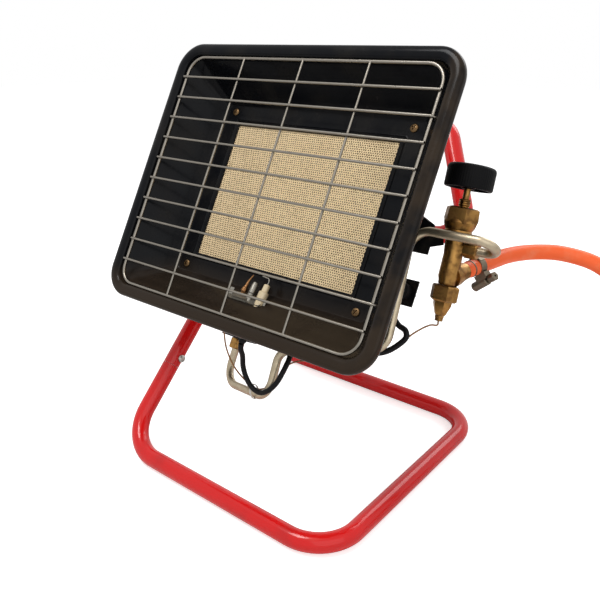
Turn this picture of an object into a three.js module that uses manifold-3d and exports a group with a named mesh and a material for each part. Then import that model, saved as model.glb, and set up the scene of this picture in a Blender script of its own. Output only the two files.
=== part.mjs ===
// Portable radiant gas heater: a tilting infra-red burner head on a bent-tube floor stand.
// Millimetres, +Z up. The front of the heater faces -Y, +X is to the right seen from the front.
// The origin is on the floor under the middle of the stand's front bar.
import * as THREE from 'three';
import { mergeVertices } from 'three/addons/utils/BufferGeometryUtils.js';
import Module from 'manifold-3d';

const wasm = await Module();
wasm.setup();

// ---------------------------------------------------------------- driving dimensions
const GAP = 0.3;                 // clearance between pieces that touch

// stand
const TUBE_D = 19;               // outside diameter of the stand tube
const TUBE_WALL = 1.5;
const TUBE_BEND = 45;            // bend radius of the tube's centre line
const PIVOT_BEND = 34;           // bend from the leg to the pivot bar
const HANDLE_FOOT_BEND = 24;     // bend from the pivot bar to the handle
const HANDLE_BEND = 40;          // bends at the top of the handle
const BASE_WIDTH = 282;          // between the centre lines of the side bars
const BASE_LENGTH = 293;         // between the centre lines of the front and rear bars
const LEG_LEAN = 44.6;           // degrees that the leg leans back from the vertical
const LEG_LENGTH = 332;          // from the front bar to the pivot bar, along the leg
const LEG_JOINT = 101;           // from the front bar to the joint of the two tubes, along the leg
const SPIGOT_LENGTH = 35;        // reduced end of the base tube inside the upper tube
const LEG_SCREW_UP = 11;         // screw above the joint
const LEG_SCREW_D = 5;
const LEG_SCREW_HEAD_D = 9;
const LEG_SCREW_HEAD = 4;
const HANDLE_HEIGHT = 115;       // handle bar above the pivot bar, along the handle's plane
const HANDLE_TOP_HALF = 75;      // half the width between the handle's upper corners
const END_CAP_LENGTH = 14;       // plug in the open end of the rear bar
const END_CAP_RIM = 3;

// head position
const HEAD_LEAN = 29.2;          // degrees that the panel leans back from the vertical
const HEAD_Y = 80.6;             // middle of the guard's plane
const HEAD_Z = 308.3;

// reflector pan
const WINDOW_HALF_W = 100;       // half the opening in front of the ceramic plaque
const WINDOW_HALF_H = 72.3;
const PAN_SHEET = 1.2;
const PAN_DEPTH = 46;            // guard plane to the front of the pan's flat bottom
const PAN_FLAT = 22;             // flat border round the opening
const PAN_WALL_REACH = 54.5;     // opening's edge to the inner edge of the rim
const RIM_WIDTH = 13;            // rolled rim
const RIM_PROUD = 4;             // rim in front of the guard plane
const RIM_SKIRT = 17;            // rim's skirt behind the guard plane
const BEAD_HEIGHT = 1.4;         // pressed bead round the opening
const BEAD_INSET = 4.5;          // opening's edge to the bead
const CORNER_FLAT = 5;           // corner radius at the pan's bottom
const CORNER_RIM = 16;           // corner radius at the rim's inner edge

// ceramic burner
const PLAQUE_LAP = 2;            // plaque hidden behind the pan's edge
const PLAQUE_THICK = 13;
const GASKET_THICK = 3;
const HOUSING_SHEET = 1.4;
const HOUSING_DEPTH = 43;        // mixing chamber behind the plaque
const HOUSING_FLANGE = 11;
const LEDGE = 7;                 // ledge that carries the plaque
const SCREW_HALF_W = 110;        // burner plate screws
const SCREW_HALF_H = 86.5;
const PLATE_SCREW_D = 4;
const PLATE_SCREW_HEAD_D = 8.4;
const PLATE_SCREW_HEAD = 2;
const PLATE_SCREW_LENGTH = 9;
const BAFFLE_SHEET = 1;
const BAFFLE_BACK = 14;          // baffle behind the plaque's ledge
const BAFFLE_TURN = 6;           // depth of the baffle's turned edges
const BAFFLE_GAP = 12;           // opening above and below the baffle

// guard, measured to the middle of the ring's wire
const GUARD_SIDE_PLAY = 4.5;     // ring inside the rim's inner edge, at the sides
const GUARD_END_PLAY = 1.8;      // the same above and below
const GUARD_HALF_W = WINDOW_HALF_W + PAN_WALL_REACH - GUARD_SIDE_PLAY;
const GUARD_HALF_H = WINDOW_HALF_H + PAN_WALL_REACH - GUARD_END_PLAY;
const RING_D = 3.4;
const BAR_D = 2.7;
const BAR_COUNT = 10;
const BAR_PITCH = 22.6;
const UPRIGHT_COUNT = 3;
const UPRIGHT_PITCH = 75;
const GUARD_CORNER = 18;
const CLIP_ENTRY = 7;            // clip bars inside the rim
const CLIP_REACH = GUARD_SIDE_PLAY + CLIP_ENTRY;
const CLIP_BARS = [1, 8];        // counted from the top bar, which is 0
const WELD_SINK = 0.35;          // how far welded wires sink into each other

// pivot bracket and its straps
const ARM_HALF = 101;            // outer faces of the bracket's two arms
const ARM_HEIGHT = 32;
const ARM_LOW = 22.5;            // arm's lower edge below the pivot axis
const ARM_SHEET = 2.5;
const LIP_WIDTH = 62;            // lips turned in at the arms' rear ends
const STRAP_SHEET = 1.8;
const STRAP_WIDTH = 20;
const STRAP_TAIL = 11;           // strap's tail below the tube
const STRAP_HOOK = 5;
const STRAP_BOLT_D = 5;
const STRAP_BOLT_DROP = 17;      // bolt below the pivot axis
const STRAP_INSET = 46;          // bolt inwards from the arm's outer face

// gas valve, measured along its axis from the top of the knob
const VALVE_X = 168.5;
const VALVE_TOP_BACK = 60;       // top of the knob behind the guard plane
const VALVE_TOP_UP = 63.3;
const VALVE_LEAN = 11.6;         // degrees between the valve's axis and the panel
const KNOB_D = 42;
const KNOB_HEIGHT = 20;
const KNOB_RIBS = 24;
const KNOB_RIB = 0.9;
const KNOB_WALL = 3.5;
const STEM_D = 6;
const STEM_BOTTOM = 57;
const GLAND_TOP = 29;
const GLAND_D = 10.4;
const BONNET_TOP = 36;
const BONNET_FLATS = 25;
const BONNET_HEX = 12;
const PLATE_LEVEL = 62;          // seat of the valve bracket
const NECK_D = 15;
const BODY_BOTTOM = 105;
const BODY_D = 15.5;
const BODY_BORE = 7;
const PIN_D = 3.2;
const OUTLET_LEVEL = 71;
const OUTLET_FLATS = 13;
const OUTLET_REACH = 9.5;        // valve axis to the outlet nut
const OUTLET_NUT = 12;
const INLET_LEVEL = 97.5;
const INLET_REACH = 22;          // valve axis to the hose
const INLET_D = 12;
const INLET_SIDE = 13.8;         // degrees that the inlet turns right from straight back
const INLET_RISE = 19.1;         // degrees that the inlet rises above square to the valve
const MAGNET_FLATS = 20;
const MAGNET_HEX = 15;
const MAGNET_CONE = 12;
const LEAD_NUT_D = 8;
const LEAD_NUT = 5;
const PRESS_TRAVEL = 4;          // push of the knob

// valve bracket
const BRACKET_SHEET = 2;
const BRACKET_DEPTH = 30;
const BRACKET_FLANGE = 22;
const BRACKET_SCREW_D = 4;

// gas pipe
const PIPE_D = 6;
const PIPE_TURN = 13;            // radius of the turn beside the valve
const PIPE_BEND = 17;

// injector and mixing tube
const MIXER_X = -40;
const MIXER_BACK = 84;
const MIXER_D = 26;
const MIXER_THROAT = 18;
const MIXER_MOUTH_D = 34;
const MIXER_WALL = 1.5;
const MIXER_LOW = 128;           // mouth below the head's middle
const HOLDER_SHEET = 2;
const HOLDER_WIDTH = 14;
const HOLDER_LOW = 146;
const INJECTOR_D = 9;
const INJECTOR_FLATS = 12;
const PIPE_NUT_FLATS = 14;
const PIPE_NUT = 11;

// pilot assembly
const PILOT_SHEET = 1.2;
const PROBE_X = -13;
const PROBE_D = 4;
const SPARK_X = 14;
const SPARK_D = 6.5;
const SPARK_PIN_D = 2;
const PILOT_TILT = 10;           // degrees that probe and electrode lean towards the plaque
const PILOT_PLACE = 0.34;        // share of the wall's slope from its deep edge to the pilot holes
const BOOT_D = 8;
const BOOT_LENGTH = 15;

// igniter
const IGNITER_DROP = 52;         // axis below the head's middle
const IGNITER_OUT = 20;          // axis beside the mixing chamber
const IGNITER_D = 16;
const IGNITER_LENGTH = 30;
const IGNITER_THREAD = 9;
const IGNITER_SHEET = 1.5;
const BUTTON_D = 10;
const BUTTON_PROUD = 9;
const BUTTON_TRAVEL = 6;

// leads
const CAPILLARY_D = 2;
const LEAD_D = 4.4;
const TIE_WIDTH = 3;

// hose
const HOSE_D = 15;
const CLAMP_WIDTH = 9;
const CLAMP_SHEET = 0.9;
const CLAMP_PLACE = 25;          // clamp's middle from the hose's end
const CLAMP_TURN = 32;           // degrees that the clamp's screw is turned up from level
const CLAMP_SCREW_D = 6.6;
const CLAMP_SCREW_LENGTH = 24;
const HOSE_END_LENGTH = 44;      // stretch that moves with the head
const COIL_X = 400;
const COIL_Y = 315;
const COIL_RADIUS = 82;
const COIL_PITCH = 16.4;         // between neighbouring turns, beside and above each other
const COIL_START = -83;          // degrees round from +X where the hose comes onto the coil
const COIL_SWEEP = 680;          // degrees wound
const COIL_DROP = [250, 360];    // stretch that steps down to the floor, degrees
const COIL_WIDEN = [500, 600];   // stretch that steps out round itself, degrees
const COIL_STEPS = 24;           // steps in a turn
const FERRULE_LENGTH = 18;
const FERRULE_SHEET = 1;
const UNION_FLATS = 19;
const UNION_LENGTH = 16;

// ---------------------------------------------------------------- derived dimensions
const rad = THREE.MathUtils.degToRad;
const tubeR = TUBE_D / 2;
const boreR = tubeR - TUBE_WALL;
const legSin = Math.sin(rad(LEG_LEAN));
const legCos = Math.cos(rad(LEG_LEAN));
const pivotY = LEG_LENGTH * legSin;
const pivotZ = tubeR + LEG_LENGTH * legCos;
const headSin = Math.sin(rad(HEAD_LEAN));
const headCos = Math.cos(rad(HEAD_LEAN));
// the pivot axis in the head's own frame: x right, y back from the guard plane, z up the panel
const pivotBack = (pivotY - HEAD_Y) * headCos - (pivotZ - HEAD_Z) * headSin;
const pivotUp = (pivotY - HEAD_Y) * headSin + (pivotZ - HEAD_Z) * headCos;
const plaqueFront = PAN_DEPTH + PAN_SHEET + GAP;
const plaqueBack = plaqueFront + PLAQUE_THICK;
const plaqueHalfW = WINDOW_HALF_W + PLAQUE_LAP;
const plaqueHalfH = WINDOW_HALF_H + PLAQUE_LAP;
const gasketOut = GAP + GASKET_THICK;          // plaque's edge to the gasket's outside
const housingIn = gasketOut + GAP;             // plaque's edge to the housing's inside
const ledgeBack = plaqueBack + 2 * GAP + GASKET_THICK / 2;
const chamberHalfW = plaqueHalfW + housingIn - LEDGE + HOUSING_SHEET;
const seatHalfW = plaqueHalfW + housingIn + HOUSING_SHEET;
const housingBack = ledgeBack + HOUSING_DEPTH;
const ringR = RING_D / 2;
const barR = BAR_D / 2;
const barBack = WELD_SINK - ringR - barR;      // bars are welded on the front of the ring
const uprightBack = barBack + BAR_D - WELD_SINK;
const clipBack = 2.2;                          // clip ends, stepped back to enter the rim

// ---------------------------------------------------------------- materials
function finish(color, roughness, metalness) {
  return () => new THREE.MeshStandardMaterial({ color, roughness, metalness });
}
const redPaint = finish(0xc2161d, 0.22, 0.0);
const blackEnamel = finish(0x14151a, 0.2, 0.0);
const blackPaint = finish(0x1c1c1e, 0.4, 0.0);
const wireSteel = finish(0xb9b6b0, 0.25, 1.0);
const zincSteel = finish(0xa3a5a6, 0.4, 1.0);
const brass = finish(0x96692f, 0.42, 1.0);
const aluminium = finish(0xb7b4ac, 0.35, 1.0);
const copper = finish(0xa8603a, 0.35, 1.0);
const plaqueCeramic = finish(0xdcc292, 0.9, 0.0);
const whiteCeramic = finish(0xe8dfc8, 0.35, 0.0);
const fibre = finish(0xd9d6cd, 0.95, 0.0);
const blackPlastic = finish(0x131314, 0.5, 0.0);
const blackRubber = finish(0x17171a, 0.45, 0.0);
const hoseRubber = finish(0xe0402a, 0.5, 0.0);
const whitePlastic = finish(0xe9e9e6, 0.45, 0.0);

// ---------------------------------------------------------------- solids
function toSolid(geometry) {
  const bare = geometry.index ? geometry.toNonIndexed() : geometry.clone();
  bare.deleteAttribute('normal');
  bare.deleteAttribute('uv');
  const merged = mergeVertices(bare, 1e-4);
  return new wasm.Manifold(new wasm.Mesh({
    numProp: 3,
    vertProperties: new Float32Array(merged.attributes.position.array),
    triVerts: new Uint32Array(merged.index.array),
  }));
}

function toGeometry(solid) {
  const mesh = solid.getMesh();
  const geometry = new THREE.BufferGeometry();
  const points = [];
  for (let i = 0; i < mesh.numVert; i += 1) {
    points.push(...mesh.vertProperties.slice(i * mesh.numProp, i * mesh.numProp + 3));
  }
  geometry.setAttribute('position', new THREE.Float32BufferAttribute(points, 3));
  geometry.setIndex([...mesh.triVerts]);
  const flat = geometry.toNonIndexed();
  flat.computeVertexNormals();
  return flat;
}

function cut(body, ...tools) {
  return toGeometry(tools.reduce((left, tool) => left.subtract(toSolid(tool)), toSolid(body)));
}

function join(...bodies) {
  return toGeometry(bodies.slice(1).reduce((left, body) => left.add(toSolid(body)), toSolid(bodies[0])));
}

function intersect(a, b) {
  return toGeometry(toSolid(a).intersect(toSolid(b)));
}

function place(parent, name, geometry, material) {
  const mesh = new THREE.Mesh(geometry, material());
  mesh.name = name;
  parent.add(mesh);
  return mesh;
}

// a solid turned from a profile of [radius, z] corners that starts and ends on the axis
function turned(profile, segments = 16) {
  const points = profile.map(([r, z]) => new THREE.Vector2(r, z));
  return new THREE.LatheGeometry(points, segments).rotateX(Math.PI / 2).rotateZ(Math.PI / segments);
}

// a ring turned from a closed profile that stays off the axis
function turnedRing(profile, segments = 16) {
  return turned([...profile, profile[0]], segments);
}

function rod(radius, low, high, segments = 12) {
  return turned([[0, low], [radius, low], [radius, high], [0, high]], segments);
}

// hexagon prism along Z with chamfered corners at the ends that ask for it
function hexagon(flats, low, high, chamferLow = true, chamferHigh = true) {
  const corner = flats / Math.sqrt(3);
  const drop = (corner - flats / 2) * 0.7;
  const prism = rod(corner, low, high, 6);
  const bevel = turned([
    [0, low], [chamferLow ? flats / 2 - 0.2 : corner + 1, low],
    [corner + 0.1, low + (chamferLow ? drop : 0)],
    [corner + 0.1, high - (chamferHigh ? drop : 0)],
    [chamferHigh ? flats / 2 - 0.2 : corner + 1, high], [0, high],
  ], 12);
  return intersect(prism, bevel);
}

function block(x0, x1, y0, y1, z0, z1) {
  const box = new THREE.BoxGeometry(x1 - x0, y1 - y0, z1 - z0);
  return box.translate((x0 + x1) / 2, (y0 + y1) / 2, (z0 + z1) / 2);
}

// turn a solid made along Z to lie along the given direction, from the given point
function aim(geometry, direction, point = [0, 0, 0]) {
  const turn = new THREE.Quaternion().setFromUnitVectors(
    new THREE.Vector3(0, 0, 1), new THREE.Vector3(...direction).normalize());
  return geometry.applyQuaternion(turn).translate(...point);
}

function vectors(points) {
  return points.map((p) => new THREE.Vector3(...p));
}

// A path of straight runs and round bends, with one step per straight run and a few per bend.
class BentPath extends THREE.Curve {
  constructor(corners, bend, bendSteps = 5) {
    super();
    const c = vectors(corners);
    this.stations = [{ p: c[0], t: c[1].clone().sub(c[0]).normalize() }];
    for (let i = 1; i < c.length - 1; i += 1) {
      const a = c[i].clone().sub(c[i - 1]).normalize();
      const b = c[i + 1].clone().sub(c[i]).normalize();
      const angle = a.angleTo(b);
      const radius = Array.isArray(bend) ? bend[i - 1] : bend;
      const back = radius * Math.tan(angle / 2);
      const start = c[i].clone().addScaledVector(a, -back);
      const side = b.clone().addScaledVector(a, -a.dot(b)).normalize();
      const centre = start.clone().addScaledVector(side, radius);
      for (let k = 0; k <= bendSteps; k += 1) {
        const turn = (angle * k) / bendSteps;
        const p = centre.clone().addScaledVector(side, -radius * Math.cos(turn));
        p.addScaledVector(a, radius * Math.sin(turn));
        const t = a.clone().multiplyScalar(Math.cos(turn)).addScaledVector(side, Math.sin(turn));
        this.stations.push({ p, t });
      }
    }
    const last = c.length - 1;
    this.stations.push({ p: c[last], t: c[last].clone().sub(c[last - 1]).normalize() });
    this.steps = this.stations.length - 1;
  }

  getPointAt(u) {
    return this.stations[Math.round(u * this.steps)].p.clone();
  }

  getTangentAt(u) {
    return this.stations[Math.round(u * this.steps)].t.clone();
  }
}

function roundSection(radius, sides, bore = 0) {
  const ring = (r) => Array.from({ length: sides }, (_, i) => {
    const a = (2 * Math.PI * (i + 0.5)) / sides;
    return new THREE.Vector2(r * Math.cos(a), r * Math.sin(a));
  });
  const shape = new THREE.Shape(ring(radius / Math.cos(Math.PI / sides)));
  if (bore > 0) shape.holes.push(new THREE.Path(ring(bore).reverse()));
  return shape;
}

function bentTube(path, radius, sides, bore = 0) {
  return new THREE.ExtrudeGeometry(roundSection(radius, sides, bore), {
    steps: path.steps, extrudePath: path, bevelEnabled: false,
  });
}

// a thin round lead along a smooth curve through hand-chosen points
function lead(points, radius, sides, steps) {
  const curve = new THREE.CatmullRomCurve3(vectors(points), false, 'centripetal');
  return new THREE.ExtrudeGeometry(roundSection(radius, sides), {
    steps, extrudePath: curve, bevelEnabled: false,
  });
}

// sheet bent along a polyline in the plane of its section, extruded to its width
function bentSheet(line, sheet, width) {
  const pts = line.map(([x, y]) => new THREE.Vector2(x, y));
  const offset = (side) => pts.map((p, i) => {
    const before = pts[Math.max(i - 1, 0)];
    const after = pts[Math.min(i + 1, pts.length - 1)];
    const a = (i > 0 ? p.clone().sub(before) : after.clone().sub(p)).normalize();
    const b = (i < pts.length - 1 ? after.clone().sub(p) : p.clone().sub(before)).normalize();
    const n = new THREE.Vector2(-a.y - b.y, a.x + b.x).normalize();
    const reach = (side * sheet) / 2 / Math.max(n.x * -a.y + n.y * a.x, 0.3);
    return p.clone().addScaledVector(n, reach);
  });
  const shape = new THREE.Shape([...offset(1), ...offset(-1).reverse()]);
  return new THREE.ExtrudeGeometry(shape, { depth: width, bevelEnabled: false, steps: 1 });
}

// stand a bent sheet up: its section lies in the YZ plane and its width runs along X
function alongX(sheet) {
  return sheet.applyMatrix4(new THREE.Matrix4().makeBasis(
    new THREE.Vector3(0, 1, 0), new THREE.Vector3(0, 0, 1), new THREE.Vector3(1, 0, 0)));
}

// a level loop of points: a rectangle with round corners, at depth y behind the guard plane
function roundedLoop(halfW, halfH, radius, y, cornerSteps = 4) {
  const loop = [];
  for (let corner = 0; corner < 4; corner += 1) {
    const sx = corner === 0 || corner === 3 ? 1 : -1;
    const sz = corner < 2 ? 1 : -1;
    for (let k = 0; k <= cornerSteps; k += 1) {
      const a = (Math.PI / 2) * (corner + k / cornerSteps);
      loop.push([
        sx * (halfW - radius) + radius * Math.cos(a), y,
        sz * (halfH - radius) + radius * Math.sin(a),
      ]);
    }
  }
  return loop;
}

// skin over a row of loops with the same number of points; closed goes back to the first loop
function loft(loops, closed) {
  const count = loops[0].length;
  const points = loops.flat(2);
  const faces = [];
  const last = closed ? loops.length : loops.length - 1;
  for (let i = 0; i < last; i += 1) {
    const a = i * count;
    const b = ((i + 1) % loops.length) * count;
    for (let k = 0; k < count; k += 1) {
      const n = (k + 1) % count;
      faces.push(a + k, a + n, b + k, a + n, b + n, b + k);
    }
  }
  if (!closed) {
    const end = (loops.length - 1) * count;
    for (let k = 1; k < count - 1; k += 1) {
      faces.push(0, k + 1, k, end, end + k, end + k + 1);
    }
  }
  const geometry = new THREE.BufferGeometry();
  geometry.setAttribute('position', new THREE.Float32BufferAttribute(points, 3));
  geometry.setIndex(faces);
  return outward(geometry);
}

// turn a closed skin's faces to point out
function outward(geometry) {
  const p = geometry.attributes.position;
  const index = geometry.index.array;
  const [a, b, c] = [new THREE.Vector3(), new THREE.Vector3(), new THREE.Vector3()];
  let volume = 0;
  for (let i = 0; i < index.length; i += 3) {
    a.fromBufferAttribute(p, index[i]);
    b.fromBufferAttribute(p, index[i + 1]);
    c.fromBufferAttribute(p, index[i + 2]);
    volume += a.dot(b.cross(c));
  }
  if (volume < 0) {
    for (let i = 0; i < index.length; i += 3) [index[i], index[i + 1]] = [index[i + 1], index[i]];
  }
  return geometry;
}

// ---------------------------------------------------------------- assembly frames
const heater = new THREE.Group();
const head = new THREE.Group();
head.position.set(0, HEAD_Y, HEAD_Z);
head.rotation.x = -rad(HEAD_LEAN);
heater.add(head);
const valve = new THREE.Group();
valve.position.set(VALVE_X, VALVE_TOP_BACK, VALVE_TOP_UP);
valve.rotation.x = rad(VALVE_LEAN);
head.add(valve);

function headToWorld([x, y, z]) {
  return [x, HEAD_Y + y * headCos + z * headSin, HEAD_Z - y * headSin + z * headCos];
}

function valveToHead([x, y, z]) {
  const s = Math.sin(rad(VALVE_LEAN));
  const c = Math.cos(rad(VALVE_LEAN));
  return [VALVE_X + x, VALVE_TOP_BACK + y * c - z * s, VALVE_TOP_UP + y * s + z * c];
}

// ---------------------------------------------------------------- stand
const halfBase = BASE_WIDTH / 2;
const SECTION_SIDES = 16;

function alongLeg(x, distance) {
  return [x, distance * legSin, tubeR + distance * legCos];
}

function makeBaseTube() {
  const shoulder = LEG_JOINT - GAP / 2;
  const path = new BentPath([
    [-halfBase, BASE_LENGTH, tubeR], [halfBase, BASE_LENGTH, tubeR], [halfBase, 0, tubeR],
    alongLeg(-halfBase, 0), alongLeg(-halfBase, shoulder),
  ], TUBE_BEND);
  const tube = bentTube(path, tubeR, SECTION_SIDES);
  const legWay = [0, legSin, legCos];
  const spigot = aim(rod(boreR - GAP, -1, SPIGOT_LENGTH, SECTION_SIDES), legWay,
    alongLeg(-halfBase, shoulder));
  const endBore = rod(boreR, -1, END_CAP_LENGTH + 2, SECTION_SIDES);
  const screwHole = rod(LEG_SCREW_D / 2 + GAP, -tubeR, boreR + 1, 12);
  return cut(join(tube, spigot),
    aim(endBore, [1, 0, 0], [-halfBase, BASE_LENGTH, tubeR]),
    aim(screwHole, [1, 0, 0], alongLeg(-halfBase, LEG_JOINT + LEG_SCREW_UP)));
}

// leg, pivot bar and slanted carrying handle, bent from one tube and welded at its end
function makeUpperTube() {
  const handlePlane = (x, up) => [x, pivotY + up * headSin, pivotZ + up * headCos];
  const start = LEG_JOINT + GAP / 2;
  const path = new BentPath([
    alongLeg(-halfBase, start), alongLeg(-halfBase, LEG_LENGTH), [halfBase, pivotY, pivotZ],
    handlePlane(HANDLE_TOP_HALF, HANDLE_HEIGHT), handlePlane(-HANDLE_TOP_HALF, HANDLE_HEIGHT),
    handlePlane(-halfBase + PIVOT_BEND / 2, PIVOT_BEND / 4),
  ], [PIVOT_BEND, HANDLE_FOOT_BEND, HANDLE_BEND, HANDLE_BEND]);
  const tube = bentTube(path, tubeR, SECTION_SIDES);
  const bore = rod(boreR, -1, SPIGOT_LENGTH + 3, SECTION_SIDES);
  const screwHole = rod(LEG_SCREW_D / 2 + GAP, 0, TUBE_D, 12);
  return cut(join(tube),
    aim(bore, [0, legSin, legCos], alongLeg(-halfBase, start)),
    aim(screwHole, [1, 0, 0], alongLeg(-halfBase, LEG_JOINT + LEG_SCREW_UP)));
}

function makeLegScrew() {
  const r = LEG_SCREW_HEAD_D / 2;
  const seat = tubeR + GAP;
  const shape = turned([
    [0, 0], [LEG_SCREW_D / 2, 0], [LEG_SCREW_D / 2, seat], [r, seat],
    [r, seat + LEG_SCREW_HEAD * 0.5], [r * 0.7, seat + LEG_SCREW_HEAD * 0.85],
    [0, seat + LEG_SCREW_HEAD],
  ], 16);
  return aim(shape, [1, 0, 0], alongLeg(-halfBase, LEG_JOINT + LEG_SCREW_UP));
}

function makeEndCap() {
  const shape = turned([
    [0, END_CAP_LENGTH], [boreR - GAP - 0.6, END_CAP_LENGTH], [boreR - GAP, END_CAP_LENGTH - 2],
    [boreR - GAP, -GAP], [tubeR, -GAP], [tubeR, -END_CAP_RIM + 1], [tubeR - 1.5, -END_CAP_RIM],
    [0, -END_CAP_RIM],
  ].reverse(), SECTION_SIDES);
  return aim(shape, [1, 0, 0], [-halfBase, BASE_LENGTH, tubeR]);
}

place(heater, 'base_tube', makeBaseTube(), redPaint);
place(heater, 'upper_tube', makeUpperTube(), redPaint);
place(heater, 'leg_screw', makeLegScrew(), zincSteel);
place(heater, 'tube_end_cap', makeEndCap(), blackPlastic);

// ---------------------------------------------------------------- reflector pan
// Each station of the pan's section is [reach out from the opening, depth, corner radius].
function panSection() {
  const rimIn = PAN_WALL_REACH;
  const rimOut = rimIn + RIM_WIDTH;
  const mid = (rimIn + rimOut) / 2;
  const beadTop = PAN_DEPTH - BEAD_HEIGHT;
  const bead = (offset, depth) => [BEAD_INSET + offset, depth, 3];
  return [
    [0, PAN_DEPTH, 2], bead(-1.6, PAN_DEPTH), bead(-0.6, beadTop), bead(0.6, beadTop),
    bead(1.6, PAN_DEPTH), [PAN_FLAT, PAN_DEPTH, CORNER_FLAT],
    [rimIn, 3, CORNER_RIM], [rimIn + 1.5, -0.5, CORNER_RIM + 1.5],
    [rimIn + 3.8, 0.8 - RIM_PROUD, CORNER_RIM + 4], [mid, -RIM_PROUD, CORNER_RIM + 6.5],
    [rimOut - 3.2, 0.8 - RIM_PROUD, CORNER_RIM + 9.5], [rimOut - 0.8, 0, CORNER_RIM + 12],
    [rimOut, 5, CORNER_RIM + 13], [rimOut, RIM_SKIRT, CORNER_RIM + 13],
  ];
}

function offsetSection(section, distance) {
  return section.map(([x, y, r], i) => {
    const [ax, ay] = section[Math.max(i - 1, 0)];
    const [bx, by] = section[Math.min(i + 1, section.length - 1)];
    const length = Math.hypot(bx - ax, by - ay);
    const nx = -(by - ay) / length;
    const ny = (bx - ax) / length;
    return [x + nx * distance, y + ny * distance, Math.max(r + nx * distance, 0.6)];
  });
}

function panLoops(section) {
  return section.map(([reach, depth, radius]) => (
    roundedLoop(WINDOW_HALF_W + reach, WINDOW_HALF_H + reach, radius, depth)));
}

function makePan() {
  const front = panSection();
  const back = offsetSection(front, PAN_SHEET);
  const skin = loft([...panLoops(front), ...panLoops(back).reverse()], true);
  const screws = [-1, 1].flatMap((sx) => [-1, 1].map((sz) => (
    aim(rod(PLATE_SCREW_D / 2 + GAP, -3, 4, 10), [0, 1, 0],
      [sx * SCREW_HALF_W, PAN_DEPTH, sz * SCREW_HALF_H]))));
  const clips = CLIP_BARS.flatMap((bar) => [-1, 1].map((sx) => (
    aim(rod(barR + 2 * GAP, 0, CLIP_REACH - 1, 8), [sx, 0, 0],
      [sx * (GUARD_HALF_W + 2), clipBack, barHeight(bar)]))));
  const probeHole = pilotHole(PROBE_X, PROBE_D);
  const sparkHole = pilotHole(SPARK_X, SPARK_D);
  return cut(skin, ...screws, ...clips, probeHole, sparkHole);
}

function barHeight(index) {
  return ((BAR_COUNT - 1) / 2 - index) * BAR_PITCH;
}

// ---------------------------------------------------------------- pilot assembly places
// The probe and the electrode stand in the pan's lower wall and lean towards the plaque.
const wallLow = WINDOW_HALF_H + PAN_FLAT;
const wallReach = PAN_WALL_REACH - PAN_FLAT;
const pilotWay = [0, Math.sin(rad(PILOT_TILT)), Math.cos(rad(PILOT_TILT))];
const pilotWallZ = -(wallLow + wallReach * PILOT_PLACE);
const pilotWallY = PAN_DEPTH - (PAN_DEPTH - 3) * PILOT_PLACE;

function pilotPlace(x, along) {
  return [x, pilotWallY + along * pilotWay[1], pilotWallZ + along * pilotWay[2]];
}

function pilotHole(x, diameter) {
  return aim(rod(diameter / 2 + GAP, -12, 40, 12), pilotWay, pilotPlace(x, 0));
}

place(head, 'reflector_pan', makePan(), blackEnamel);

// ---------------------------------------------------------------- burner
function frameLoops(inset, y, radius) {
  return roundedLoop(plaqueHalfW + inset, plaqueHalfH + inset, radius, y, 3);
}

function makePlaque() {
  return loft([
    frameLoops(-0.8, plaqueFront, 2), frameLoops(0, plaqueFront + 0.8, 2.4),
    frameLoops(0, plaqueBack - 0.8, 2.4), frameLoops(-0.8, plaqueBack, 2),
  ], false);
}

function makeGasket() {
  const front = plaqueFront + 0.4;
  const lipFront = plaqueBack + GAP;
  const lipBack = ledgeBack - GAP;
  return loft([
    frameLoops(GAP, front, 3), frameLoops(gasketOut, front, 6), frameLoops(gasketOut, lipBack, 6),
    frameLoops(GASKET_THICK - LEDGE, lipBack, 2), frameLoops(GASKET_THICK - LEDGE, lipFront, 2),
    frameLoops(GAP, lipFront, 3),
  ], true);
}

// pressed box: flange, seat for the plaque, ledge and mixing chamber
function makeHousing() {
  const front = PAN_DEPTH + PAN_SHEET + GAP;
  const t = HOUSING_SHEET;
  const chamber = housingIn - LEDGE;
  const flange = housingIn + t + HOUSING_FLANGE;
  const round = 8;
  const box = loft([
    frameLoops(chamber - round, housingBack - t, 6), frameLoops(chamber - 2, housingBack - t - 2, 8),
    frameLoops(chamber, housingBack - t - round, 10), frameLoops(chamber, ledgeBack, 10),
    frameLoops(housingIn, ledgeBack, 6), frameLoops(housingIn, front, 6),
    frameLoops(flange, front, 9), frameLoops(flange, front + t, 9),
    frameLoops(housingIn + t, front + t, 7), frameLoops(housingIn + t, ledgeBack + t, 7),
    frameLoops(chamber + t, ledgeBack + t, 11), frameLoops(chamber + t, housingBack - round, 11),
    frameLoops(chamber + t - 2, housingBack - 2, 9), frameLoops(chamber - round, housingBack, 7),
  ], false);
  const mixer = aim(rod(MIXER_D / 2 + GAP, -12, 12, 20), [0, 0, 1],
    [MIXER_X, MIXER_BACK, -(plaqueHalfH + chamber)]);
  const screws = [-1, 1].flatMap((sx) => [-1, 1].map((sz) => (
    aim(rod(PLATE_SCREW_D / 2 + GAP, -3, 4, 10), [0, 1, 0],
      [sx * SCREW_HALF_W, front, sz * SCREW_HALF_H]))));
  return cut(box, mixer, ...screws);
}

// spreads the gas over the whole plaque; its turned edges are spot-welded to the chamber's sides
function makeBaffle() {
  const halfW = plaqueHalfW + housingIn - LEDGE - GAP;
  const halfH = plaqueHalfH + housingIn - LEDGE - BAFFLE_GAP;
  const y = ledgeBack + BAFFLE_BACK;
  const edge = halfW - BAFFLE_SHEET / 2;
  const line = [[-edge, y - BAFFLE_TURN], [-edge, y], [edge, y], [edge, y - BAFFLE_TURN]];
  return bentSheet(line, BAFFLE_SHEET, 2 * halfH).translate(0, 0, -halfH);
}

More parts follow.
